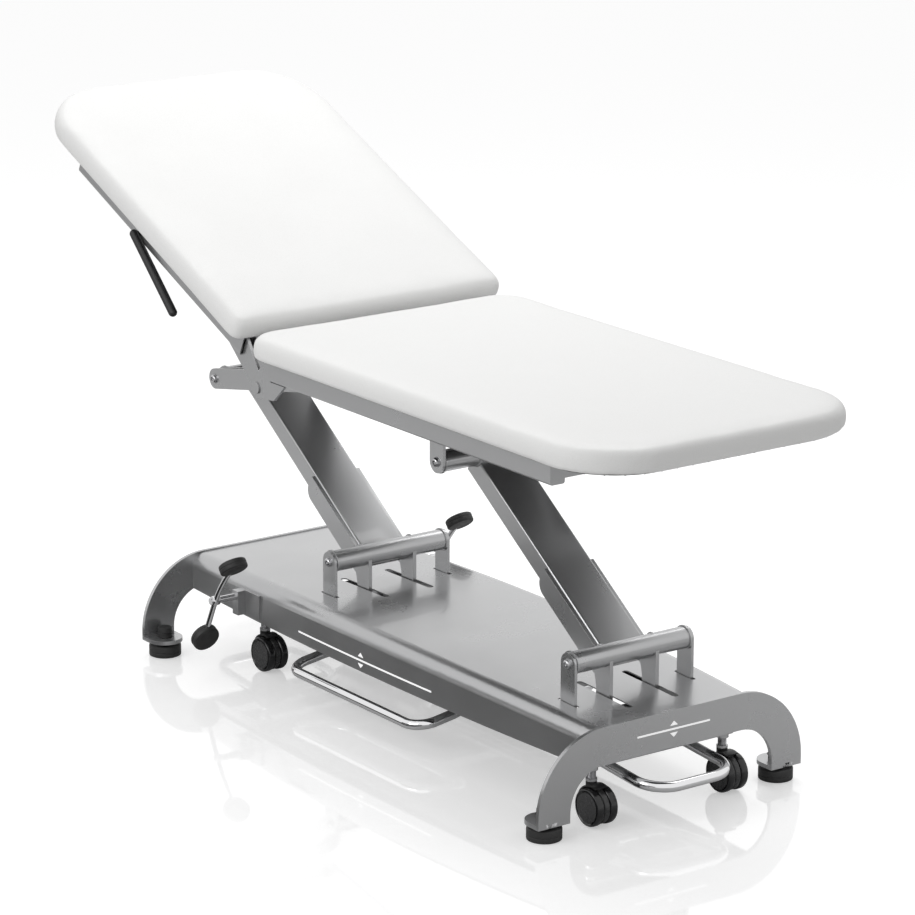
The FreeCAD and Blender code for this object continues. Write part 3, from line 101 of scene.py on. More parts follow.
def piece_from_bmesh(name, bm, smooth=True):
    """Turn a bmesh into an object at the origin."""
    bmesh.ops.recalc_face_normals(bm, faces=bm.faces)
    mesh = bpy.data.meshes.new(name)
    bm.to_mesh(mesh)
    bm.free()
    for face in mesh.polygons:
        face.use_smooth = smooth
    piece = bpy.data.objects.new(name, mesh)
    bpy.context.scene.collection.objects.link(piece)
    return piece


def evaluated_mesh(piece):
    """A plain copy of what the modifiers make of a piece."""
    graph = bpy.context.evaluated_depsgraph_get()
    return bpy.data.meshes.new_from_object(piece.evaluated_get(graph))


def node_material(name):
    """A new material with its shader, its node tree and its links at hand."""
    material = bpy.data.materials.new(name)
    material.use_nodes = True
    tree = material.node_tree
    return material, tree, tree.nodes["Principled BSDF"]


# %% [markdown]
# ## Surface groups
# Three effects come back in several finishes: a fine bump from noise, a leather grain,
# and the slight cloudiness that handling leaves on a smooth surface. Each is a shader
# node group with named inputs, built once. A group only puts out values and normals;
# the shader itself stays in each material, where the export can read it.


# %% Start a shader group
def shader_group(name, inputs, outputs):
    """An empty shader group with named sockets, and its input and output nodes."""
    group = bpy.data.node_groups.new(name, "ShaderNodeTree")
    for label, default in inputs:
        socket = group.interface.new_socket(name=label, in_out="INPUT", socket_type="NodeSocketFloat")
        socket.default_value = default
    for label, kind in outputs:
        group.interface.new_socket(name=label, in_out="OUTPUT", socket_type=kind)
    return group, group.nodes.new("NodeGroupInput"), group.nodes.new("NodeGroupOutput")


# %% Grain that is bumped by noise, as on paint and moulded plastic
grain, grain_in, grain_out = shader_group(
    "noise_grain", [("Scale", 400.0), ("Strength", 0.1), ("Depth", 0.0002), ("Round", 0.0008)],
    [("Normal", "NodeSocketVector"), ("Height", "NodeSocketFloat")])
coords = grain.nodes.new("ShaderNodeTexCoord")
noise = grain.nodes.new("ShaderNodeTexNoise")
noise.inputs["Detail"].default_value = 3.0
bump = grain.nodes.new("ShaderNodeBump")
soft_edge = grain.nodes.new("ShaderNodeBevel")
soft_edge.samples = 4
grain.links.new(grain_in.outputs["Round"], soft_edge.inputs["Radius"])
grain.links.new(soft_edge.outputs["Normal"], bump.inputs["Normal"])
grain.links.new(coords.outputs["Object"], noise.inputs["Vector"])
grain.links.new(grain_in.outputs["Scale"], noise.inputs["Scale"])
grain.links.new(noise.outputs["Fac"], bump.inputs["Height"])
grain.links.new(grain_in.outputs["Strength"], bump.inputs["Strength"])
grain.links.new(grain_in.outputs["Depth"], bump.inputs["Distance"])
grain.links.new(bump.outputs["Normal"], grain_out.inputs["Normal"])
grain.links.new(noise.outputs["Fac"], grain_out.inputs["Height"])
print("group:", grain.name)

# %% Grain of imitation leather: small rounded cells with fine creases between, and a mask of the creases for painting shade into them
hide, hide_in, hide_out = shader_group(
    "hide_grain", [("Scale", 700.0), ("Strength", 0.1), ("Depth", 0.0002)],
    [("Normal", "NodeSocketVector"), ("crease_shade", "NodeSocketFloat")])
coords = hide.nodes.new("ShaderNodeTexCoord")
sway = hide.nodes.new("ShaderNodeTexNoise")
sway.inputs["Scale"].default_value = 60.0
mix = hide.nodes.new("ShaderNodeVectorMath")
mix.operation = "MULTIPLY_ADD"
mix.inputs[1].default_value = (0.0015, 0.0015, 0.0015)
cells = hide.nodes.new("ShaderNodeTexVoronoi")
cells.feature = "DISTANCE_TO_EDGE"
ramp = hide.nodes.new("ShaderNodeMapRange")
ramp.interpolation_type = "SMOOTHSTEP"
ramp.inputs["From Max"].default_value = 0.22
bump = hide.nodes.new("ShaderNodeBump")
hide.links.new(coords.outputs["Object"], sway.inputs["Vector"])
hide.links.new(sway.outputs["Color"], mix.inputs[0])
hide.links.new(coords.outputs["Object"], mix.inputs[2])
hide.links.new(mix.outputs["Vector"], cells.inputs["Vector"])
hide.links.new(hide_in.outputs["Scale"], cells.inputs["Scale"])
hide.links.new(cells.outputs["Distance"], ramp.inputs["Value"])
hide.links.new(ramp.outputs["Result"], bump.inputs["Height"])
hide.links.new(hide_in.outputs["Strength"], bump.inputs["Strength"])
hide.links.new(hide_in.outputs["Depth"], bump.inputs["Distance"])
hide.links.new(bump.outputs["Normal"], hide_out.inputs["Normal"])
hide.links.new(ramp.outputs["Result"], hide_out.inputs["crease_shade"])
print("group:", hide.name)

# %% Cloudiness: a slow change of a value over the surface
cloud, cloud_in, cloud_out = shader_group(
    "cloudiness", [("Scale", 6.0), ("Low", 0.3), ("High", 0.4)], [("Value", "NodeSocketFloat")])
coords = cloud.nodes.new("ShaderNodeTexCoord")
noise = cloud.nodes.new("ShaderNodeTexNoise")
noise.inputs["Detail"].default_value = 5.0
noise.inputs["Roughness"].default_value = 0.6
spread = cloud.nodes.new("ShaderNodeMapRange")
spread.inputs["From Min"].default_value = 0.35
spread.inputs["From Max"].default_value = 0.65
cloud.links.new(coords.outputs["Object"], noise.inputs["Vector"])
cloud.links.new(cloud_in.outputs["Scale"], noise.inputs["Scale"])
cloud.links.new(noise.outputs["Fac"], spread.inputs["Value"])
cloud.links.new(cloud_in.outputs["Low"], spread.inputs["To Min"])
cloud.links.new(cloud_in.outputs["High"], spread.inputs["To Max"])
cloud.links.new(spread.outputs["Result"], cloud_out.inputs["Value"])
print("group:", cloud.name)


# %% Place a group in a material
def place_group(tree, group, **values):
    """Put a shader group in a material with its own values."""
    node = tree.nodes.new("ShaderNodeGroup")
    node.node_tree = group
    for label, value in values.items():
        node.inputs[label].default_value = value
    return node


def two_tones(tree, shader, factor, start, end):
    """Colour that goes from one tone to another with a factor."""
    blend = tree.nodes.new("ShaderNodeMix")
    blend.data_type = "RGBA"
    blend.inputs[6].default_value = (*start, 1.0)
    blend.inputs[7].default_value = (*end, 1.0)
    tree.links.new(factor, blend.inputs[0])
    tree.links.new(blend.outputs[2], shader.inputs["Base Color"])


def clouded_roughness(tree, shader, scale, low, high):
    """Let a shader's roughness drift between two values, and hand back the drift."""
    drift = place_group(tree, cloud, Scale=scale, Low=low, High=high)
    tree.links.new(drift.outputs["Value"], shader.inputs["Roughness"])
    return drift.outputs["Value"]


def clouded(name, scale, low, high, start, end, metallic=0.0):
    """Material whose tone drifts together with its roughness."""
    material, tree, shader = node_material(name)
    shader.inputs["Metallic"].default_value = metallic
    two_tones(tree, shader, clouded_roughness(tree, shader, scale, low, high), start, end)
    return material, tree, shader


def grained(tree, shader, group, scale, strength, depth):
    """Bump a shader with one of the grains, and hand back the grain's node."""
    node = place_group(tree, group, Scale=scale, Strength=strength, Depth=depth)
    tree.links.new(node.outputs["Normal"], shader.inputs["Normal"])
    return node


# %% [markdown]
# ## Metal finishes
# The frame is painted silver-grey: metal flakes under a clear, glossy top coat. Flakes
# are a very fine noise between two close greys, and the top coat is the shader's coat,
# so the highlight is sharp while the colour stays soft.

# %% Silver paint
silver, tree, shader = node_material("silver_paint")
shader.inputs["Metallic"].default_value = 0.8
shader.inputs["Coat Weight"].default_value = 0.6
shader.inputs["Coat Roughness"].default_value = 0.06
flakes = tree.nodes.new("ShaderNodeTexNoise")
flakes.inputs["Scale"].default_value = 1600.0
flakes.inputs["Detail"].default_value = 2.0
tree.links.new(tree.nodes.new("ShaderNodeTexCoord").outputs["Object"], flakes.inputs["Vector"])
two_tones(tree, shader, flakes.outputs["Fac"], (0.42, 0.422, 0.427), (0.53, 0.533, 0.539))
clouded_roughness(tree, shader, 5.0, 0.26, 0.33)
grained(tree, shader, grain, 260.0, 0.015, 0.0002)
print("material:", silver.name)

# %% Chrome plate with faint wiping marks, and zinc plate for stems, screws and rods
chrome = clouded("chrome_plate", 28.0, 0.04, 0.10, (0.80, 0.80, 0.81), (0.70, 0.70, 0.71), 1.0)[0]
zinc = clouded("zinc_plate", 70.0, 0.22, 0.38, (0.58, 0.58, 0.59), (0.47, 0.47, 0.48), 1.0)[0]
print("materials:", chrome.name, zinc.name)

# %% [markdown]
# ## Plastic, rubber and cushion cover
# Moulded black plastic has a spark-eroded grain; rubber is a little duller and greyer.
# The cushion cover is smooth white imitation leather. Its cells are about a millimetre
# across, so from a few metres they soften the highlight, and the shade painted into
# their creases dims the white a little.

# %% Black plastic and black rubber
plastic, tree, shader = clouded("black_plastic", 24.0, 0.34, 0.46,
                                (0.012, 0.012, 0.013), (0.022, 0.022, 0.023))
grained(tree, shader, grain, 1300.0, 0.18, 0.0002)
rubber, tree, shader = clouded("black_rubber", 45.0, 0.48, 0.66,
                               (0.014, 0.014, 0.014), (0.034, 0.034, 0.034))
grained(tree, shader, grain, 700.0, 0.22, 0.0002)
tread = clouded("castor_tread", 60.0, 0.14, 0.24, (0.010, 0.010, 0.011), (0.020, 0.020, 0.021))[0]
# The hub plastic is a lighter copy of the black plastic, so that the castor's band looks lit: painted light.
lightened_hub_plastic = clouded("lightened_hub_plastic", 90.0, 0.20, 0.32, (0.030, 0.030, 0.031), (0.050, 0.050, 0.051))[0]
print("materials:", plastic.name, rubber.name, tread.name, lightened_hub_plastic.name)

# %% White imitation leather
cover, tree, shader = node_material("white_leather")
shader.inputs["Specular IOR Level"].default_value = 0.4
shader.inputs["Sheen Weight"].default_value = 0.06
cells = grained(tree, shader, hide, 650.0, 0.16, 0.0003)
clouded_roughness(tree, shader, 7.0, 0.42, 0.52)
# The cover's colour is darker in the grain's creases: painted shade.
two_tones(tree, shader, cells.outputs["crease_shade"], (0.80, 0.80, 0.79), (0.86, 0.86, 0.855))
print("material:", cover.name)

# %% White lacquer of the printed marks, which glows a little as painted light, and black liner cloth
glowing_lacquer, tree, shader = node_material("glowing_white_lacquer")
shader.inputs["Base Color"].default_value = (0.92, 0.92, 0.92, 1.0)
# The print glows faintly although it is no lamp: painted brightness on the marks.
shader.inputs["Emission Color"].default_value = (1.0, 1.0, 1.0, 1.0)
shader.inputs["Emission Strength"].default_value = 0.40
clouded_roughness(tree, shader, 60.0, 0.28, 0.36)

liner, tree, shader = node_material("black_liner")
shader.inputs["Roughness"].default_value = 0.92
felt = grained(tree, shader, grain, 1800.0, 0.5, 0.0004)
two_tones(tree, shader, felt.outputs["Height"], (0.012, 0.012, 0.013), (0.04, 0.04, 0.042))
print("materials:", glowing_lacquer.name, liner.name)

# %% [markdown]
# ## Finishes for the frame's own parts
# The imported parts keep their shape. Only their material changes, chosen by the finish
# that the record gives them; a few parts get a finish of their own.

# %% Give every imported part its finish
BY_SLOT = {"paint": silver, "black_paint": plastic, "chrome": chrome, "cushion": cover,
           "black_plastic": plastic, "black_rubber": rubber}
OWN_FINISH = {"actuator_rod": zinc, "gas_spring_rod": zinc, "lift_link": zinc,
              "seat_rail_caps": silver, "backrest_rail_caps": silver, "pedal_brackets": silver}
slot_of = {part["node"]: part["material_slot"] for part in frame["record"]["subparts"]}
for name, node in frame["nodes"].items():
    material = OWN_FINISH.get(name, BY_SLOT[slot_of[name]])
    for place in node.material_slots:
        place.material = material
    if not node.material_slots:
        node.data.materials.append(material)
print("finished:", len(slot_of), "parts")

# %% [markdown]
# ## Cushions
# Each cushion is foam on a board under a stretched cover. It has a flat underside where
# it lies on the rails, large round corners at its outer end and soft edges. The cover is
# made the way an upholsterer makes it: a block is wrapped in cloth, the cloth is blown up
# a little by the foam's pressure, and the board keeps the underside flat. The pressure
# crowns the top and draws the sides in, so the block starts lower and wider.

# %% Outline of a cushion
PAD_LOW, PAD_HIGH, PAD_HALF = 0.716, 0.764, 0.325


def cushion_outline(head, foot, half, head_corner, foot_corner, steps=14):
    """Points round a cushion's plan, with one corner radius at each end."""
    corners = [(foot, -half, foot_corner, -90), (foot, half, foot_corner, 0),
               (head, half, head_corner, 90), (head, -half, head_corner, 180)]
    points = []
    for x, y, r, first in corners:
        centre = Vector((x - r if x == foot else x + r, y - r if y > 0 else y + r))
        for step in range(steps + 1):
            turn = math.radians(first + 90 * step / steps)
            points.append(centre + Vector((math.cos(turn), math.sin(turn))) * r)
    return points


# %% Block of foam with rounded edges
def foam_block(name, head, foot, head_corner, foot_corner, change=0.003):
    """Closed block, drawn level, wider and lower than the cushion by a small change."""
    rings = [(0.008, PAD_LOW), (0.002, PAD_LOW + 0.002), (0.0, PAD_LOW + 0.008), (0.0, PAD_HIGH - 0.022),
             (0.0025, PAD_HIGH - 0.012), (0.008, PAD_HIGH - 0.005), (0.018, PAD_HIGH - 0.001),
             (0.030, PAD_HIGH)]
    bm = bmesh.new()
    loops = []
    for inset, z in rings:
        gap = inset - change
        outline = cushion_outline(head + gap, foot - gap, PAD_HALF - gap,
                                  max(head_corner - gap, 0.004), max(foot_corner - gap, 0.004))
        loops.append([bm.verts.new((p.x, p.y, min(z, PAD_HIGH - change))) for p in outline])
    count = len(loops[0])
    for low, high in zip(loops, loops[1:]):
        for i in range(count):
            bm.faces.new((low[i], low[(i + 1) % count], high[(i + 1) % count], high[i]))
    bm.faces.new(loops[0])
    bm.faces.new(loops[-1])
    return piece_from_bmesh(name, bm)


# %% Wrap the block in cloth and let it swell
SWELL_LIMIT = 0.0055


def wrapped(piece, voxel=0.008):
    """Remesh the block evenly, blow it up with cloth pressure, and keep its underside flat."""
    bpy.context.view_layer.objects.active = piece
    remesh = piece.modifiers.new("even", "REMESH")
    remesh.mode = "VOXEL"
    remesh.voxel_size = voxel
    even = evaluated_mesh(piece)
    piece.modifiers.clear()
    piece.data = even
    start = [v.co.copy() for v in even.vertices]
    cloth = piece.modifiers.new("cover", "CLOTH")
    cloth.settings.use_pressure = True
    cloth.settings.uniform_pressure_force = 4.0
    cloth.settings.quality = 4
    cloth.settings.mass = 0.4
    cloth.settings.tension_stiffness = 25.0
    cloth.settings.compression_stiffness = 25.0
    cloth.settings.bending_stiffness = 2.0
    cloth.settings.effector_weights.gravity = 0.0
    cloth.collision_settings.use_collision = False
    cloth.point_cache.frame_start = 1
    cloth.point_cache.frame_end = 20
    scene = bpy.context.scene
    for step in range(1, 21):
        scene.frame_set(step)
    swollen = evaluated_mesh(piece)
    piece.modifiers.clear()
    for vertex, home in zip(swollen.vertices, start):
        move = vertex.co - home
        if move.length > SWELL_LIMIT:
            move *= SWELL_LIMIT / move.length
        vertex.co = home + move
    piece.data = swollen
    scene.frame_set(1)
    smooth = piece.modifiers.new("soften", "SMOOTH")
    smooth.factor = 0.5
    smooth.iterations = 6
    softened = evaluated_mesh(piece)
    piece.modifiers.clear()
    for vertex in softened.vertices:
        vertex.co.z = max(vertex.co.z, PAD_LOW)
    piece.data = softened
    fine = piece.modifiers.new("fine", "SUBSURF")
    fine.levels = fine.render_levels = 1
    piece.data = evaluated_mesh(piece)
    piece.modifiers.clear()
    for face in piece.data.polygons:
        face.use_smooth = True
    heights = [v.co.z for v in piece.data.vertices]
    print(piece.name, "faces", len(piece.data.polygons), "top", round(max(heights), 4))
    return piece


# %% Seat cushion
# A plan holds the places of both ends and the corner radius at each of them.
SEAT_PLAN = (-0.267 + SHIFT_X, 0.855 + SHIFT_X, 0.060, 0.150)
seat = foam_block("seat_cushion", *SEAT_PLAN)
wrapped(seat)
finish_piece(seat, "upper_frame", cover, ["seat_pad"])

# %% [markdown]
# The backrest is made level, where its underside is easy to keep flat, and then turned up
# about its hinge in its mesh, because a finished piece stays unturned at the origin.

# %% Backrest cushion, turned up about its hinge
HINGE = Vector((-0.264 + SHIFT_X, 0.0, 0.650))
BACKREST_TURN = (Matrix.Translation(HINGE) @ Matrix.Rotation(math.radians(23.85), 4, "Y")
                 @ Matrix.Translation(-HINGE))
BACK_PLAN = (-1.176 + SHIFT_X, -0.328 + SHIFT_X, 0.150, 0.020)
back = foam_block("backrest_cushion", *BACK_PLAN)
wrapped(back)
back.data.transform(BACKREST_TURN)
finish_piece(back, "backrest", cover, ["backrest_pad"])

# %% [markdown]
# ## Liner and staples
# Seen from below, the cover is pulled round the board and stapled, and a black liner
# cloth hides the edge. Geometry Nodes place the staples: a staple is a tiny bent wire,
# instanced at even steps along the liner's edge and turned to follow it.


# %% A node tree that repeats a shape along a curve
def repeat_along(name, material):
    """Geometry Nodes tree: instances of a mesh object at even steps along a curve."""
    tree = bpy.data.node_groups.new(name, "GeometryNodeTree")
    face = tree.interface
    face.new_socket(name="Geometry", in_out="INPUT", socket_type="NodeSocketGeometry")
    shape = face.new_socket(name="Shape", in_out="INPUT", socket_type="NodeSocketObject")
    step = face.new_socket(name="Step", in_out="INPUT", socket_type="NodeSocketFloat")
    face.new_socket(name="Geometry", in_out="OUTPUT", socket_type="NodeSocketGeometry")
    nodes, links = tree.nodes, tree.links
    given, made = nodes.new("NodeGroupInput"), nodes.new("NodeGroupOutput")
    points = nodes.new("GeometryNodeCurveToPoints")
    points.mode = "LENGTH"
    look = nodes.new("GeometryNodeObjectInfo")
    look.inputs["As Instance"].default_value = True
    place = nodes.new("GeometryNodeInstanceOnPoints")
    real = nodes.new("GeometryNodeRealizeInstances")
    paint = nodes.new("GeometryNodeSetMaterial")
    paint.inputs["Material"].default_value = material
    links.new(given.outputs["Geometry"], points.inputs["Curve"])
    links.new(given.outputs["Step"], points.inputs["Length"])
    links.new(given.outputs["Shape"], look.inputs["Object"])
    links.new(points.outputs["Points"], place.inputs["Points"])
    links.new(look.outputs["Geometry"], place.inputs["Instance"])
    links.new(points.outputs["Rotation"], place.inputs["Rotation"])
    links.new(place.outputs["Instances"], real.inputs["Geometry"])
    links.new(real.outputs["Geometry"], paint.inputs["Geometry"])
    links.new(paint.outputs["Geometry"], made.inputs["Geometry"])
    return tree, shape.identifier, step.identifier


def along_curves(name, loops, shape, step, material):
    """One plain mesh of a shape repeated along closed loops of points."""
    curve = bpy.data.curves.new(name + "_path", "CURVE")
    curve.dimensions = "3D"
    for loop in loops:
        line = curve.splines.new("POLY")
        line.points.add(len(loop) - 1)
        for point, place in zip(line.points, loop):
            point.co = (*place, 1.0)
        line.use_cyclic_u = True
    path = bpy.data.objects.new(name + "_path", curve)
    bpy.context.scene.collection.objects.link(path)
    tree, shape_id, step_id = repeat_along(name + "_tree", material)
    repeat = path.modifiers.new("repeat", "NODES")
    repeat.node_group = tree
    repeat[shape_id] = shape
    repeat[step_id] = step
    mesh = evaluated_mesh(path)
    bpy.data.objects.remove(path)
    bpy.data.objects.remove(shape)
    piece = bpy.data.objects.new(name, mesh)
    bpy.context.scene.collection.objects.link(piece)
    return piece


# %% A staple: a flat crown with two short legs
def staple_shape(width=0.010, wire=0.0006):
    """Small bent wire that lies on the XY plane."""
    bm = bmesh.new()
    for x0, x1, z0 in ((-width / 2, width / 2, 0.0), (-width / 2, -width / 2 + wire, -0.002),
                       (width / 2 - wire, width / 2, -0.002)):
        cube = bmesh.ops.create_cube(bm, size=1.0)["verts"]
        bmesh.ops.scale(bm, vec=(x1 - x0, wire * 2, wire - z0), verts=cube)
        bmesh.ops.translate(bm, vec=((x0 + x1) / 2, 0.0, (wire + z0) / 2), verts=cube)
    return piece_from_bmesh("staple", bm, smooth=False)


# %% Liners under both cushions
def liner_sheet(name, head, foot, head_corner, foot_corner, inset=0.016):
    """Thin sheet under the board, with a folded edge."""
    outline = cushion_outline(head + inset, foot - inset, PAD_HALF - inset,
                              max(head_corner - inset, 0.006), max(foot_corner - inset, 0.006), 10)
    low = PAD_LOW - 0.0008
    bm = bmesh.new()
    inner = [bm.verts.new((p.x * 0.999 + (head + foot) * 0.0005, p.y * 0.998, low)) for p in outline]
    edge = [bm.verts.new((p.x, p.y, low + 0.0009)) for p in outline]
    top = [bm.verts.new((p.x, p.y, PAD_LOW + 0.0006)) for p in outline]
    count = len(outline)
    for a, b in ((inner, edge), (edge, top)):
        for i in range(count):
            bm.faces.new((a[i], a[(i + 1) % count], b[(i + 1) % count], b[i]))
    bm.faces.new(inner)
    bm.faces.new(top)
    return piece_from_bmesh(name, bm, smooth=False)


STAPLE_INSET, STAPLE_STEP, FACES_PER_STAPLE = 0.022, 0.035, 18
for label, plan, body, turn in (("seat", SEAT_PLAN, "upper_frame", None),
                                ("backrest", BACK_PLAN, "backrest", BACKREST_TURN)):
    head, foot, head_corner, foot_corner = plan
    sheet = liner_sheet(label + "_liner", *plan)
    loop = [Vector((p.x, p.y, PAD_LOW - 0.0012)) for p in cushion_outline(
        head + STAPLE_INSET, foot - STAPLE_INSET, PAD_HALF - STAPLE_INSET,
        max(head_corner - STAPLE_INSET, 0.004), max(foot_corner - STAPLE_INSET, 0.018), 10)]
    staples = along_curves(label + "_staples", [loop], staple_shape(), STAPLE_STEP, zinc)
    for piece, material in ((sheet, liner), (staples, zinc)):
        if turn is not None:
            piece.data.transform(turn)
        finish_piece(piece, body, material)
    print(label, "liner and", len(staples.data.polygons) // FACES_PER_STAPLE, "staples")

# %% [markdown]
# ## Weld beads
# Where the arms meet their cross tubes, a welder leaves a bead of overlapping drops.
# The bead is a row of flattened drops along the joint's curve. The curve is worked out
# from the tube's radius, and the drops are instanced along it.


# %% A drop of weld metal
def weld_drop(radius=0.0032):
    """Flattened low drop."""
    bm = bmesh.new()
    bmesh.ops.create_icosphere(bm, subdivisions=2, radius=radius)
    bmesh.ops.scale(bm, vec=(1.0, 1.0, 0.75), verts=bm.verts)
    return piece_from_bmesh("drop", bm)


# %% Beads round the tubes, one on each side plate
TUBE_RADIUS = 0.021
LOWER_BEAD_Y, UPPER_BEAD_Y, DROP_STEP = 0.0585, 0.0505, 0.0028
ARM = math.radians(35.0)


def bead_circle(x, y, z, radius, first, last, steps=40):
    """Arc of points round a tube that lies along Y."""
    points = []
    for step in range(steps + 1):
        turn = first + (last - first) * step / steps
        points.append(Vector((x + radius * math.cos(turn), y, z + radius * math.sin(turn))))
    return points + points[-2:0:-1]


LIFT_X, LIFT_Z, SPACING, ARM_LENGTH = -0.239 + SHIFT_X, 0.276, 0.778, 0.504
for label, x in (("head", LIFT_X), ("foot", LIFT_X + SPACING)):
    top_x, top_z = x - ARM_LENGTH * math.cos(ARM), LIFT_Z + ARM_LENGTH * math.sin(ARM)
    loops = []
    for side in (-1, 1):
        loops.append(bead_circle(x, side * LOWER_BEAD_Y, LIFT_Z, TUBE_RADIUS,
                                 math.radians(100), math.radians(230)))
        loops.append(bead_circle(top_x, side * UPPER_BEAD_Y, top_z, TUBE_RADIUS,
                                 math.radians(-100), math.radians(20)))
    beads = along_curves(label + "_weld_beads", loops, weld_drop(), DROP_STEP, silver)
    finish_piece(beads, label + "_arm", silver)
    for face in beads.data.polygons:
        face.use_smooth = True
print("weld beads on both arms")

# %% [markdown]
# ## Marks for the foot bars
# A thin white line with an arrow above and one below tells where to press. It is printed
# on both sides of the cover and on both end plates. A print is hardly thick, so each mark
# is a thin skin that lies on the surface it is printed on. On the cover it follows the
# arched side.


# %% Where the cover's side is, at a place along the table
def cover_side(x):
    """Half width of the cover, from the same arch as the metal."""
    reach, end, middle = 0.669, 0.190, 0.214
    bulge = middle - end
    radius = (reach * reach + bulge * bulge) / (2 * bulge)
    place = x - SHIFT_X
    return middle - radius + math.sqrt(radius * radius - place * place)


def printed_patch(bm, outlines, lift=0.0003):
    """Closed thin skin over each outline, which is a row of points with their normals."""
    for row in outlines:
        lower = [bm.verts.new(p - n * lift) for p, n in row]
        upper = [bm.verts.new(p + n * lift) for p, n in row]
        bm.faces.new(upper)
        bm.faces.new(lower[::-1])
        count = len(row)
        for i in range(count):
            bm.faces.new((lower[i], lower[(i + 1) % count], upper[(i + 1) % count], upper[i]))


# %% Line and arrows on both long sides of the cover
LINE_Z, LINE_HALF = 0.1445, 0.0017
LINE_START, LINE_END, LINE_STEPS = -0.243 + SHIFT_X, 0.210 + SHIFT_X, 24
ARROW_X = -0.022 + SHIFT_X
ARROW_HALF, ARROW_BASE, ARROW_TIP = 0.0090, 0.0070, 0.0155
for label, side in (("near", -1), ("far", 1)):
    bm = bmesh.new()
    quads = []
    out = Vector((0, side, 0))
    for step in range(LINE_STEPS):
        xa = LINE_START + (LINE_END - LINE_START) * step / LINE_STEPS
        xb = LINE_START + (LINE_END - LINE_START) * (step + 1) / LINE_STEPS
        quads.append([(Vector((x, side * cover_side(x), z)), out) for x, z in (
            (xa, LINE_Z - LINE_HALF), (xb, LINE_Z - LINE_HALF),
            (xb, LINE_Z + LINE_HALF), (xa, LINE_Z + LINE_HALF))])
    for way in (1, -1):
        base = LINE_Z + way * ARROW_BASE
        quads.append([(Vector((x, side * cover_side(x), z)), out) for x, z in (
            (ARROW_X - ARROW_HALF, base), (ARROW_X + ARROW_HALF, base),
            (ARROW_X, LINE_Z + way * ARROW_TIP))])
    printed_patch(bm, quads)
    mark = piece_from_bmesh("side_mark_" + label, bm, smooth=False)
    finish_piece(mark, "base", glowing_lacquer)

# %% The same mark on both end plates
MARK_Z, MARK_HALF = 0.1620, 0.085
for label, end in (("foot", 1), ("head", -1)):
    x = SHIFT_X + end * PLATE_FACE
    out = Vector((end, 0, 0))
    shapes = [[(-MARK_HALF, MARK_Z - LINE_HALF), (MARK_HALF, MARK_Z - LINE_HALF),
               (MARK_HALF, MARK_Z + LINE_HALF), (-MARK_HALF, MARK_Z + LINE_HALF)]]
    for way in (1, -1):
        base = MARK_Z + way * ARROW_BASE
        shapes.append([(-ARROW_HALF, base), (ARROW_HALF, base), (0.0, MARK_Z + way * ARROW_TIP)])
    bm = bmesh.new()
    printed_patch(bm, [[(Vector((x, y, z)), out) for y, z in shape] for shape in shapes])
    mark = piece_from_bmesh("end_mark_" + label, bm, smooth=False)
    finish_piece(mark, "base", glowing_lacquer)
print("marks on the cover and on the end plates")

# %% [markdown]
# ## Turned parts
# Feet, castor wheels, stems and bolt heads are round about one axis. On the real table
# they come off a lathe or out of a round mould, and they are made the same way here: one
# profile of radius and height is spun about the axis. A crease angle keeps the profile's
# corners crisp while the round stays smooth.


# %% Spin a profile
def turned(bm, profile, centre, axis="Z", steps=56, out=1):
    """Spin (radius, height) points about an upright axis, or about Y with heights going outwards."""
    rings = []
    for radius, height in profile:
        ring = []
        for step in range(1 if radius == 0 else steps):
            turn = 2 * math.pi * step / steps
            a, b = radius * math.cos(turn), radius * math.sin(turn)
            place = (a, b, height) if axis == "Z" else (a, out * height, b)
            ring.append(bm.verts.new(Vector(centre) + Vector(place)))
        rings.append(ring)
    for low, high in zip(rings, rings[1:]):
        for step in range(steps):
            corners = (low[step % len(low)], low[(step + 1) % len(low)],
                       high[(step + 1) % len(high)], high[step % len(high)])
            if len(set(corners)) > 2:
                bm.faces.new(list(dict.fromkeys(corners)))


def crisp_piece(name, bm, angle=32.0):
    """Smooth piece whose edges stay crisp past an angle."""
    piece = piece_from_bmesh(name, bm)
    piece.data.set_sharp_from_angle(angle=math.radians(angle))
    return piece


# %% [markdown]
# ## Levelling feet
# Each leg stands on a hard rubber disc with a shallow groove round it. Its screw goes up
# through the leg's tab and ends in a knob with grip ribs, which is turned by hand.

# %% Discs, screws and ribbed knobs
FOOT_DISC = [(0, 0), (0.0308, 0), (0.0325, 0.0008), (0.033, 0.0022), (0.033, 0.0085), (0.0322, 0.0092),
             (0.0322, 0.0104), (0.033, 0.0111), (0.033, 0.0205), (0.0325, 0.0225), (0.0308, 0.024),
             (0, 0.024)]
FOOT_SCREW = [(0, 0.0235), (0.006, 0.0235), (0.006, 0.0245), (0.0105, 0.0248), (0.011, 0.0256),
              (0.011, 0.0288), (0.0105, 0.0296), (0.006, 0.0298), (0.006, 0.0384), (0, 0.0384)]
KNOB = [(0, 0.0385), (0.0142, 0.0385), (0.0148, 0.0392), (0.0148, 0.0560), (0.0142, 0.0582),
        (0.0125, 0.0596), (0.0095, 0.0601), (0, 0.0601)]
KNOB_RADIUS, KNOB_MIDDLE, RIB_STEP = 0.0148, 0.0478, 0.0050
FOOT_X, FOOT_Y = 0.647, 0.273


def circle_points(centre, radius, steps=48):
    """Points of a level circle."""
    return [Vector((centre.x + radius * math.cos(2 * math.pi * i / steps),
                    centre.y + radius * math.sin(2 * math.pi * i / steps), centre.z)) for i in range(steps)]


def rib_shape():
    """Short upright rib with rounded ends."""
    bm = bmesh.new()
    bmesh.ops.create_uvsphere(bm, u_segments=8, v_segments=6, radius=0.0014)
    bmesh.ops.scale(bm, vec=(1.0, 1.0, 6.2), verts=bm.verts)
    return piece_from_bmesh("rib", bm)


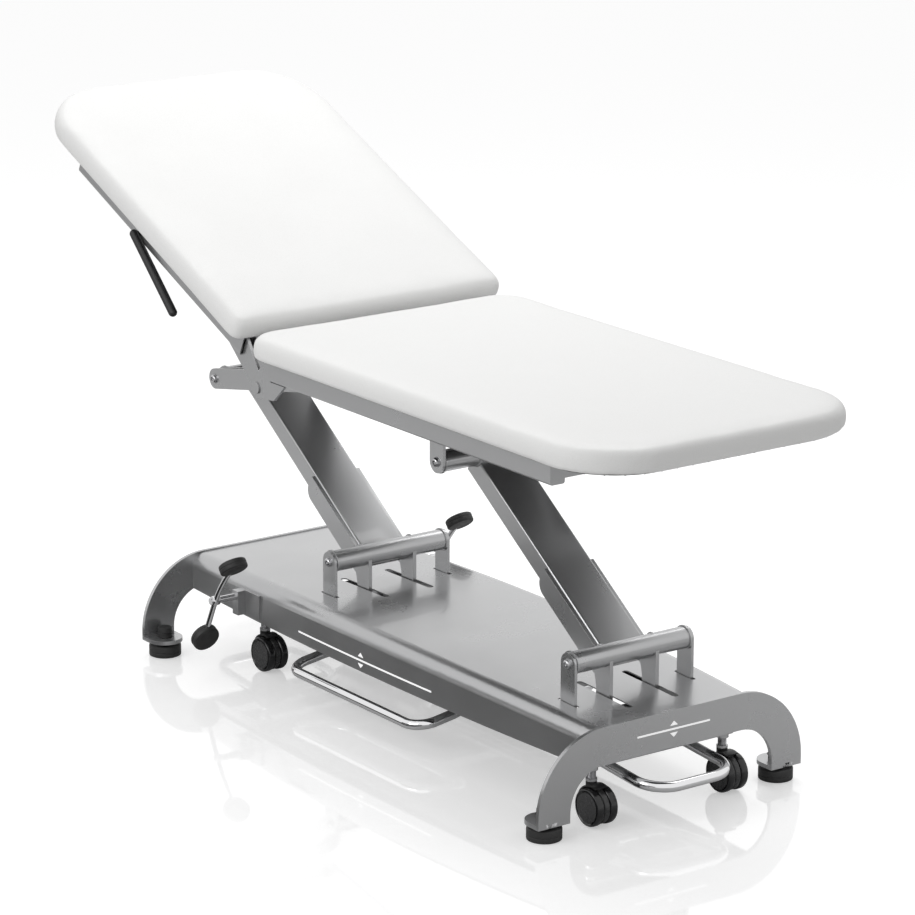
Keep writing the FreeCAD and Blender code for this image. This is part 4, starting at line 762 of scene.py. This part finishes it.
for end, x in (("head", -FOOT_X + SHIFT_X), ("foot", FOOT_X + SHIFT_X)):
    for side, y in (("near", -FOOT_Y), ("far", FOOT_Y)):
        body = "levelling_foot_%s_%s" % (end, side)
        bm = bmesh.new()
        turned(bm, FOOT_DISC, (x, y, 0))
        turned(bm, FOOT_SCREW, (x, y, 0), steps=32)
        turned(bm, KNOB, (x, y, 0), steps=40)
        finish_piece(crisp_piece("foot_%s_%s" % (end, side), bm), body, rubber, [body])
        ribs = along_curves("knob_ribs_%s_%s" % (end, side),
                            [circle_points(Vector((x, y, KNOB_MIDDLE)), KNOB_RADIUS)],
                            rib_shape(), RIB_STEP, plastic)
        finish_piece(ribs, body, plastic)
print("four levelling feet")

# %% [markdown]
# ## Castor wheels and stems
# A castor has two wheels with a soft dark tread and a flat hub disc. A thin lip runs round
# the disc and catches the light. The stem between the wheels and the carriage is plated
# and threaded; a thread this fine can be rings, because its slope can't be seen.

# %% Wheels with lips and hub discs, threaded stems
TYRE = [(0, 0), (0.0300, 0), (0.0338, 0.0012), (0.0355, 0.0030), (0.0360, 0.0052), (0.0360, 0.0118),
        (0.0356, 0.0140), (0.0346, 0.0158), (0.0334, 0.0168), (0.0322, 0.0170), (0.0314, 0.0162),
        (0.0300, 0.0150), (0.0288, 0.0148), (0, 0.0148)]
HUB_DISC = [(0, 0.0140), (0.0286, 0.0140), (0.0286, 0.0164), (0.0280, 0.0172), (0.0200, 0.0174), (0, 0.0174)]
STEM = [(0, 0.0812), (0.0102, 0.0812), (0.0108, 0.0818), (0.0108, 0.0862), (0.0102, 0.0868)]
THREAD_TURNS, THREAD_PITCH = 9, 0.0016
for turn in range(THREAD_TURNS):
    STEM += [(0.0078, 0.0872 + THREAD_PITCH * turn), (0.0085, 0.0880 + THREAD_PITCH * turn)]
STEM += [(0.0078, 0.1016), (0, 0.1016)]
BELT = [(0, -0.0061), (0.0325, -0.0061), (0.0338, -0.0050), (0.0342, -0.0030), (0.0342, 0.0030),
        (0.0338, 0.0050), (0.0325, 0.0061), (0, 0.0061)]
CASTOR_Y, TRAIL, WHEEL_Y, WHEEL_Z = 0.154, 0.016, 0.0065, 0.037
for end, x in (("head", -0.452), ("foot", 0.631)):
    for side, y in (("near", -CASTOR_Y), ("far", CASTOR_Y)):
        castor = "castor_%s_%s" % (end, side)
        axle_x = x + TRAIL + SHIFT_X
        tyres, discs, stem, belt = bmesh.new(), bmesh.new(), bmesh.new(), bmesh.new()
        for out in (-1, 1):
            inner = (axle_x, y + out * WHEEL_Y, WHEEL_Z)
            turned(tyres, TYRE, inner, axis="Y", steps=72, out=out)
            turned(discs, HUB_DISC, inner, axis="Y", out=out)
        turned(stem, STEM, (x + SHIFT_X, y, 0), steps=32)
        turned(belt, BELT, (axle_x, y, WHEEL_Z), axis="Y", steps=64)
        # The belt and the hub discs take the lighter hub plastic: painted light on the band between the
        # wheels.
        for label, bm, body, material, slot, replaced in (
                ("belt", belt, castor, lightened_hub_plastic, "black_plastic", ()),
                ("tyres", tyres, castor + "_wheels", tread, "black_rubber",
                 ["castor_wheels_%s_%s" % (end, side)]),
                ("hub_discs", discs, castor + "_wheels", lightened_hub_plastic, "black_plastic", ()),
                ("stem", stem, castor, zinc, "chrome", ())):
            piece = crisp_piece("%s_%s_%s" % (label, end, side), bm)
            finish_piece(piece, body, material, replaced)
print("four castors dressed")

# %% [markdown]
# ## Pivot bolts
# The ends of the cross tubes are closed by round-headed bolts. The shank, the washer under
# the head, the head and the socket sunk in it are one turned profile.

# %% Round heads with sockets
BOLT = [(0, -0.030), (0.008, -0.030), (0.008, 0.0), (0.0102, 0.0), (0.0104, 0.0005), (0.0102, 0.0012),
        (0.0090, 0.0013), (0.0090, 0.0030), (0.0084, 0.0046), (0.0070, 0.0060), (0.0050, 0.0067),
        (0.0040, 0.0068), (0.0038, 0.0040), (0, 0.0036)]
BRACKET_FACE = 0.140
RISE = Vector((-ARM_LENGTH * math.cos(ARM), 0, ARM_LENGTH * math.sin(ARM)))
for label, body, lift in (("lower", "base", Vector((0, 0, 0))), ("top", "upper_frame", RISE)):
    bm = bmesh.new()
    for x in (LIFT_X, LIFT_X + SPACING):
        for out in (-1, 1):
            turned(bm, BOLT, Vector((x, out * BRACKET_FACE, LIFT_Z)) + lift, axis="Y", steps=36, out=out)
    bolts = crisp_piece(label + "_bolts", bm)
    finish_piece(bolts, body, zinc, [label + "_pivot_bolts"])
print("eight bolts")

# %% [markdown]
# ## The castor pedal
# The pedal's lever is one plated bar bent in a smooth bow, pinched between two thick
# rubber treads. The bow is a curve through a few points, given a round section and then
# made a mesh. The treads are turned discs with a groove round the rim and rings on the
# face, so that a wet shoe holds.

# %% Bowed levers
PEDAL = Vector((-0.446 + SHIFT_X, 0, 0.168))
BOW = [(0.058, 0.074), (0.035, 0.050), (0.006, 0.010), (-0.012, -0.030), (-0.030, -0.068)]
HUB = [(0, -0.009), (0.0092, -0.009), (0.0098, -0.0082), (0.0098, 0.0045), (0.0090, 0.0056), (0, 0.0058)]
LEVER_Y = 0.278
for side, out in (("near", -1), ("far", 1)):
    y = out * LEVER_Y
    curve = bpy.data.curves.new("lever_" + side, "CURVE")
    curve.dimensions = "3D"
    curve.bevel_depth = 0.0055
    curve.bevel_resolution = 6
    curve.use_fill_caps = True
    line = curve.splines.new("NURBS")
    line.points.add(len(BOW) - 1)
    for point, (x, z) in zip(line.points, BOW):
        point.co = (PEDAL.x + x, y, PEDAL.z + z, 1.0)
    line.order_u = 4
    line.use_endpoint_u = True
    line.resolution_u = 16
    bow = bpy.data.objects.new("bow", curve)
    bpy.context.scene.collection.objects.link(bow)
    bar = evaluated_mesh(bow)
    bpy.data.objects.remove(bow)
    hub = bmesh.new()
    hub.from_mesh(bar)
    bpy.data.meshes.remove(bar)
    turned(hub, HUB, (PEDAL.x, y, PEDAL.z), axis="Y", steps=32, out=out)
    finish_piece(crisp_piece("bowed_lever_" + side, hub, 40.0), "pedal", chrome,
                 ["pedal_lever_" + side])
print("two bowed levers")

# %% Four rubber treads
TREAD = [(0, 0.0095), (0.0070, 0.0095), (0.0075, 0.0087), (0.0125, 0.0087), (0.0130, 0.0095),
         (0.0180, 0.0095), (0.0185, 0.0087), (0.0230, 0.0087), (0.0235, 0.0095), (0.0262, 0.0093),
         (0.0280, 0.0080), (0.0288, 0.0058), (0.0288, 0.0012), (0.0280, 0.0), (0.0288, -0.0012),
         (0.0288, -0.0058), (0.0280, -0.0080), (0.0262, -0.0093), (0, -0.0095)]
UPPER, LOWER = Vector((0.071, 0, 0.089)), Vector((-0.038, 0, -0.087))
bm = bmesh.new()
for middle, tilt in ((UPPER, -37.5), (LOWER, -64.0)):
    for y in (-LEVER_Y, LEVER_Y):
        one = bmesh.new()
        turned(one, TREAD, (0, 0, 0), steps=64)
        disc = bpy.data.meshes.new("disc")
        one.to_mesh(disc)
        one.free()
        disc.transform(Matrix.Translation(PEDAL + middle + Vector((0, y, 0)))
                       @ Matrix.Rotation(math.radians(tilt), 4, "Y"))
        bm.from_mesh(disc)
        bpy.data.meshes.remove(disc)
finish_piece(crisp_piece("treads", bm), "pedal", rubber, ["pedal_treads"])
print("four treads")

# %% [markdown]
# ## End plates
# The arches are cut from flat plate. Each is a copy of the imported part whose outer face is
# trued up flat, as a grinder leaves it, so that the welded tabs behind don't show on it.

# %% True up the outer faces
for label, end in (("foot", 1), ("head", -1)):
    node = frame["nodes"]["end_plate_" + label]
    bm = bmesh.new()
    bm.from_mesh(node.data)
    bmesh.ops.remove_doubles(bm, verts=bm.verts, dist=1e-6)
    for vert in bm.verts:
        over = end * (vert.co.x - SHIFT_X) - PLATE_FACE
        if over > 0:
            vert.co.x -= end * over
    bmesh.ops.dissolve_degenerate(bm, dist=1e-6, edges=bm.edges)
    finish_piece(crisp_piece("arch_" + label, bm, 30.0), "base", silver, ["end_plate_" + label])
print("two end plates")

# %% [markdown]
# ## Floor and backdrop
# The photograph has a white, glossy floor that fades into a white backdrop. The floor is a
# single sheet. The camera sees it white and polished, with the table's shadow and a soft
# mirror image; every other ray meets a plain light grey. The world is white where the
# camera and reflections see it, and a plain soft grey where it lights the table.

# %% The floor
floor_mesh = bpy.data.meshes.new("floor")
floor_mesh.from_pydata([(-30, -30, 0), (30, -30, 0), (30, 30, 0), (-30, 30, 0)], [], [(0, 1, 2, 3)])
floor = bpy.data.objects.new("floor", floor_mesh)
floor.location = (0, 0, -0.0005)
bpy.context.scene.collection.objects.link(floor)
floor_paint, tree, shader = node_material("floor_white")
shader.inputs["Base Color"].default_value = (0.74, 0.74, 0.74, 1.0)
shader.inputs["Roughness"].default_value = 0.9
shadow = tree.nodes.new("ShaderNodeBsdfDiffuse")
shadow.inputs["Color"].default_value = (0.92, 0.92, 0.92, 1.0)
glow = tree.nodes.new("ShaderNodeEmission")
glow.inputs["Strength"].default_value = 0.56
both = tree.nodes.new("ShaderNodeAddShader")
mirror = tree.nodes.new("ShaderNodeBsdfGlossy")
mirror.inputs["Roughness"].default_value = 0.04
polished = tree.nodes.new("ShaderNodeMixShader")
polished.inputs["Fac"].default_value = 0.24
rays = tree.nodes.new("ShaderNodeLightPath")
choice = tree.nodes.new("ShaderNodeMixShader")
tree.links.new(shadow.outputs["BSDF"], both.inputs[0])
tree.links.new(glow.outputs["Emission"], both.inputs[1])
tree.links.new(both.outputs["Shader"], polished.inputs[1])
tree.links.new(mirror.outputs["BSDF"], polished.inputs[2])
tree.links.new(rays.outputs["Is Camera Ray"], choice.inputs["Fac"])
tree.links.new(shader.outputs["BSDF"], choice.inputs[1])
tree.links.new(polished.outputs["Shader"], choice.inputs[2])
tree.links.new(choice.outputs["Shader"], tree.nodes["Material Output"].inputs["Surface"])
floor_mesh.materials.append(floor_paint)
print("floor laid")

# %% World: white to look at, soft grey as light
world = bpy.data.worlds.new("studio")
bpy.context.scene.world = world
world.use_nodes = True
tree = world.node_tree
background = tree.nodes["Background"]
rays = tree.nodes.new("ShaderNodeLightPath")
seen = tree.nodes.new("ShaderNodeMath")
seen.operation = "MAXIMUM"
seen_more = tree.nodes.new("ShaderNodeMath")
seen_more.operation = "MAXIMUM"
strength = tree.nodes.new("ShaderNodeMapRange")
strength.inputs["To Min"].default_value = 0.50
strength.inputs["To Max"].default_value = 1.0
background.inputs["Color"].default_value = (1.0, 1.0, 1.0, 1.0)
tree.links.new(rays.outputs["Is Camera Ray"], seen.inputs[0])
tree.links.new(rays.outputs["Is Glossy Ray"], seen.inputs[1])
tree.links.new(seen.outputs["Value"], seen_more.inputs[0])
tree.links.new(rays.outputs["Is Transmission Ray"], seen_more.inputs[1])
tree.links.new(seen_more.outputs["Value"], strength.inputs["Value"])
tree.links.new(strength.outputs["Result"], background.inputs["Strength"])
print("world set")


# %% [markdown]
# ## Lamps and black flags
# One large soft lamp hangs over the table towards its head end and a weaker one stands on
# the near side. Chrome and glossy paint only look like metal when they have something dark
# to mirror, so a studio puts black flags beside the set. The camera does not see them. A
# flag is black on its front only: the low one faces up from the floor, so the floor's
# mirror looks through it, and the other stands on the near side and faces the table.

# %% Lamps
def soft_lamp(name, place, aim, width, height, power):
    """Rectangular soft lamp that points at a place."""
    data = bpy.data.lights.new(name, "AREA")
    data.shape = "RECTANGLE"
    data.size, data.size_y = width, height
    data.energy = power
    lamp = bpy.data.objects.new(name, data)
    lamp.location = place
    lamp.rotation_euler = (Vector(aim) - Vector(place)).to_track_quat("-Z", "Y").to_euler()
    bpy.context.scene.collection.objects.link(lamp)
    return lamp


soft_lamp("over_head", (-0.9, 0.8, 3.4), (0.1, 0.0, 0.5), 3.0, 2.4, 57.0)
soft_lamp("near_side", (0.3, -3.4, 1.9), (0.0, 0.0, 0.5), 2.4, 1.6, 34.0)
print("two lamps")


# %% Black flags that only reflections see
def flag(name, corners):
    """Black sheet whose front is where its corners run anticlockwise, unseen by the camera."""
    mesh = bpy.data.meshes.new(name)
    mesh.from_pydata(corners, [], [(0, 1, 2, 3)])
    mesh.materials.append(flag_black)
    sheet = bpy.data.objects.new(name, mesh)
    sheet.visible_camera = False
    sheet.visible_diffuse = False
    sheet.visible_shadow = False
    bpy.context.scene.collection.objects.link(sheet)


flag_black, tree, shader = node_material("flag_black")
shader.inputs["Base Color"].default_value = (0.02, 0.02, 0.02, 1.0)
shader.inputs["Roughness"].default_value = 1.0
facing = tree.nodes.new("ShaderNodeNewGeometry")
clear = tree.nodes.new("ShaderNodeBsdfTransparent")
one_sided = tree.nodes.new("ShaderNodeMixShader")
tree.links.new(facing.outputs["Backfacing"], one_sided.inputs["Fac"])
tree.links.new(shader.outputs["BSDF"], one_sided.inputs[1])
tree.links.new(clear.outputs["BSDF"], one_sided.inputs[2])
tree.links.new(one_sided.outputs["Shader"], tree.nodes["Material Output"].inputs["Surface"])
flag("flag_low", [(-0.75, -1.05, 0.001), (0.95, -1.05, 0.001), (0.95, -0.36, 0.001), (-0.75, -0.36, 0.001)])
flag("flag_near", [(3.0, -2.6, 0.0), (-2.5, -2.6, 0.0), (-2.5, -2.9, 0.75), (3.0, -2.9, 0.75)])
print("two flags")
